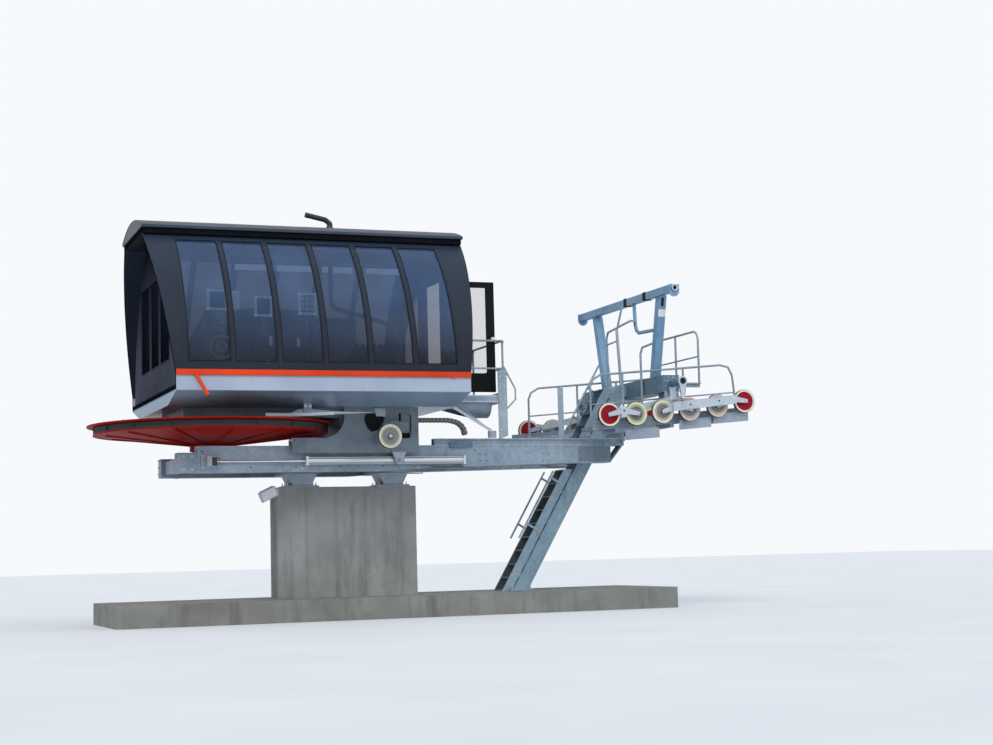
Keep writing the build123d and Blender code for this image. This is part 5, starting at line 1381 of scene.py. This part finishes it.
def screen_details(shape):
    """Panel frames behind the near glass, small lamps and dials, and the desk with its boxes; the frames, dials and
    desk bars give off painted glow.
    """
    for x, z, wide, high in ((-2.57, 5.60, 0.36, 0.37), (-1.71, 5.50, 0.32, 0.37), (-0.90, 5.55, 0.34, 0.40)):
        for a, b, c, d in edging(0, wide, 0, high, 0.04):
            shape.box(x + a, x + b, -1.44, -1.40, z + c, z + d, PANEL_GLOW)
        shape.box(x + 0.03, x + wide - 0.03, -1.415, -1.405, z + 0.03, z + high - 0.03, GASKET)
        shape.box(x + wide / 2 - 0.02, x + wide / 2 + 0.02, -1.40, -1.36, z - 0.35, z + 0.02, CABINET)
    shape.box(-2.21, -1.98, -1.44, -1.38, 5.62, 5.95, PANEL_GLOW)
    for z in (5.66, 5.75, 5.84):
        for x in (-0.82, -0.73, -0.64):
            shape.lathe(ring(0.018, 0.032, 0.0, 0.012), (x, -1.415, z), NEAR, 16, PANEL_GLOW)
    for radius in (0.10, 0.21):
        shape.lathe(ring(radius - 0.022, radius, 0.0, 0.02), (-2.33, -1.47, 4.93), NEAR, 36, FAINT_PANEL_GLOW)
    for x, z, high in ((-1.44, 4.98, 0.16), (-0.93, 4.96, 0.16), (-1.50, 4.62, 0.08)):
        shape.box(x, x + 0.05, -1.42, -1.39, z, z + high, PANEL_GLOW)
    x, y = -2.885, -1.45
    shape.box(x + 0.45, x + 0.64, y + 0.05, y + 0.37, 5.10, 5.62, CABINET)
    for k in range(7):
        z = 5.22 + 0.05 * k
        shape.box(x + 0.42 + 0.03 * (k % 2), x + 0.62 - 0.04 * (k % 3), y - 0.02, y + 0.02, z, z + 0.020, FAINT_PANEL_GLOW)
    for left in (x + 0.03, x + 0.33):
        for z in (4.35, 4.62):
            shape.box(left, left + 0.27, y - 0.014, y, z - 0.11, z + 0.13, CABINET)
            shape.box(left + 0.09, left + 0.18, y - 0.026, y - 0.014, z + 0.05, z + 0.07, GASKET)


def machinery():
    """What shows through the glass, as one piece, with the pipe that rises behind it."""
    shape = Shape()
    for add_details in (drive_details, engine_details, cabinet_details, ceiling_details, screen_details):
        add_details(shape)
    pipe = [(-2.23, 0.30, 4.9), (-2.23, 0.9, 5.0), (-1.9, 1.2, 5.2), (-1.6, 1.25, 5.3), (-1.6, 1.25, 6.30),
            (-1.6, 0.80, 6.90)]
    shape.tube(pipe, 0.03, DARK_STEEL)
    shape.done("machine_room_details", "carriage", 0)


machinery()


# --- Lamp, exhaust and guard ---

def floodlight_face():
    """Cooling fins, rim, white lens and the bracket's bolts."""
    shape = Shape()
    centre, tilt = Vector((-1.26, -0.38, 2.33)), Matrix.Rotation(math.radians(-25), 3, "Y")

    def bar(p, q, wide, high, finish):
        """A bar between two places on the lamp."""
        shape.plank(centre + tilt @ Vector(p), centre + tilt @ Vector(q), wide, high, finish, OUT)

    for k in range(7):
        x = -0.12 + 0.04 * k
        bar((x, 0, 0.095), (x, 0, 0.115), 0.006, 0.13, LAMP)
    rim = [(x, -0.076, z) for x, z in ((-0.15, -0.085), (0.15, -0.085), (0.15, 0.085), (-0.15, 0.085))]
    for p, q in zip(rim, rim[1:] + rim[:1]):
        bar(p, q, 0.014, 0.014, LAMP)
    bar((-0.14, -0.077, 0), (0.14, -0.077, 0), 0.155, 0.005, WHITE)
    for z in (2.37, 2.43):
        shape.bolt((-1.07, -0.352, z), NEAR, 0.008)
    shape.done("floodlight_face", "base", 0.001)


def exhaust_fittings():
    """The roof's collar round the pipe, the pipe's open mouth and its clamp."""
    shape = Shape()
    flashing = [(0.052, 0.0), (0.115, 0.0), (0.12, 0.008), (0.075, 0.03), (0.06, 0.09), (0.052, 0.09)]
    shape.lathe(flashing, (0.10, 0.0, 7.388), UP, 32, SLATE)
    mouth = [(0.049, -0.03), (0.0515, -0.03), (0.0515, 0.0), (0.046, 0.002), (0.044, -0.05), (0.0005, -0.05)]
    shape.lathe(mouth, (-0.38, 0, 7.68), (-0.39, 0, 0.08), 28, DARK_STEEL, closed=False)
    shape.lathe([(0.051, 0.0), (0.058, 0.004), (0.058, 0.024), (0.051, 0.028)], (0.10, 0, 7.495), UP, 28, DARK_STEEL)
    shape.done("exhaust_fittings", "carriage", 0)


def guard():
    """The white guard blade, and the zinc plates and bracket that hold it."""
    shape = Shape()
    blade = [(-1.60, 3.672), (-1.15, 3.666), (-0.34, 3.702), (-0.34, 3.757), (-1.15, 3.728), (-1.60, 3.728)]
    shape.plate(blade, -1.706, -1.694, WHITE)
    shape.plate([(-1.16, 3.715), (-0.40, 3.735), (-0.34, 3.766), (-0.74, 3.802), (-0.99, 3.802)], -1.695, -1.685, ZINC)
    tongue = [(-0.36, 3.708), (0.27, 3.738), (0.40, 3.742), (0.40, 3.748), (-0.36, 3.762)]
    shape.plate(tongue, -1.703, -1.695, ZINC_PALE)
    shape.plate([(-0.91, 3.73), (-0.75, 3.73), (-0.76, 3.90), (-0.90, 3.90)], -1.712, -1.703, ZINC)
    shape.box(-0.90, -0.76, -1.71, -1.60, 3.898, 3.925, ZINC)
    for x in (-0.875, -0.785):
        shape.bolt((x, -1.712, 3.862), NEAR, 0.018)
    shape.done("guard", "carriage", 0.0015, replaces=["guard_blade"])


floodlight_face()
exhaust_fittings()
guard()


# --- Floor, light and camera ---

def make_floor():
    """A wide pale ground for the renders, which stays out of the part."""
    mesh = bmesh.new()
    mesh.faces.new([mesh.verts.new((x, y, 0)) for x, y in ((-90, -60), (90, -60), (90, 120), (-90, 120))])
    data = bpy.data.meshes.new("floor")
    mesh.to_mesh(data)
    mesh.free()
    floor = bpy.data.objects.new("floor", data)
    bpy.context.scene.collection.objects.link(floor)
    material, tree, shader = new_finish("pale_floor", Roughness=0.9)
    grain = clouds(tree, object_place(tree), 0.35, 3.0, 0.55, 0.3, 0.7)
    feed(tree, shader, Base_Color=blend_colour(tree, grain, colour((0.80, 0.81, 0.83)), colour((0.85, 0.86, 0.87))))
    data.materials.append(material)


def make_light():
    """A bluish sky that looks paler where it is seen directly, and two suns."""
    world = bpy.data.worlds.new("studio")
    bpy.context.scene.world = world
    world.use_nodes = True
    tree = world.node_tree
    tree.nodes.clear()
    lit = add(tree, "ShaderNodeBackground", {"Color": colour((0.80, 0.89, 1.0)), "Strength": 0.62}).outputs[0]
    seen = add(tree, "ShaderNodeBackground", {"Color": colour((0.93, 0.95, 0.98)), "Strength": 1.0}).outputs[0]
    path = add(tree, "ShaderNodeLightPath").outputs
    mirrored = math_node(tree, "MAXIMUM", path["Is Glossy Ray"], path["Is Transmission Ray"])
    direct = math_node(tree, "MAXIMUM", path["Is Camera Ray"], mirrored)
    mixed = add(tree, "ShaderNodeMixShader", {0: direct, 1: lit, 2: seen}).outputs[0]
    tree.links.new(mixed, tree.nodes.new("ShaderNodeOutputWorld").inputs["Surface"])
    for name, energy, tilt, turn, wide, tint in (("key", 1.5, 48, -28, 30, (1.0, 0.98, 0.95)),
                                                 ("fill", 0.5, 62, 55, 60, (0.86, 0.93, 1.0))):
        lamp = bpy.data.lights.new(name, "SUN")
        lamp.energy, lamp.angle, lamp.color = energy, math.radians(wide), tint
        holder = bpy.data.objects.new(name, lamp)
        holder.rotation_euler = (math.radians(tilt), 0, math.radians(turn))
        bpy.context.scene.collection.objects.link(holder)


def make_camera():
    """The photo's view: where it stood, how it was turned, and how long its lens is."""
    place = Vector((-8.7369, -32.2963, 1.2122))
    yaw, pitch, roll = (math.radians(angle) for angle in (20.6802, 5.7449, 1.4886))
    focal_pixels, photo_width, sensor = 1755.642, 993, 36.0
    ahead = Vector((math.sin(yaw) * math.cos(pitch), math.cos(yaw) * math.cos(pitch), math.sin(pitch)))
    right = ahead.cross(Vector(UP)).normalized()
    up = right.cross(ahead)
    right, up = right * math.cos(roll) - up * math.sin(roll), right * math.sin(roll) + up * math.cos(roll)
    turn = Matrix((right, up, -ahead)).transposed()
    data = bpy.data.cameras.new("camera")
    data.sensor_width, data.lens, data.clip_end = sensor, sensor * focal_pixels / photo_width, 300.0
    camera = bpy.data.objects.new("camera", data)
    camera.matrix_world = Matrix.Translation(place) @ turn.to_4x4()
    bpy.context.scene.collection.objects.link(camera)
    bpy.context.scene.camera = camera


make_floor()
make_light()
make_camera()
bpy.context.scene.view_settings.view_transform = "Standard"
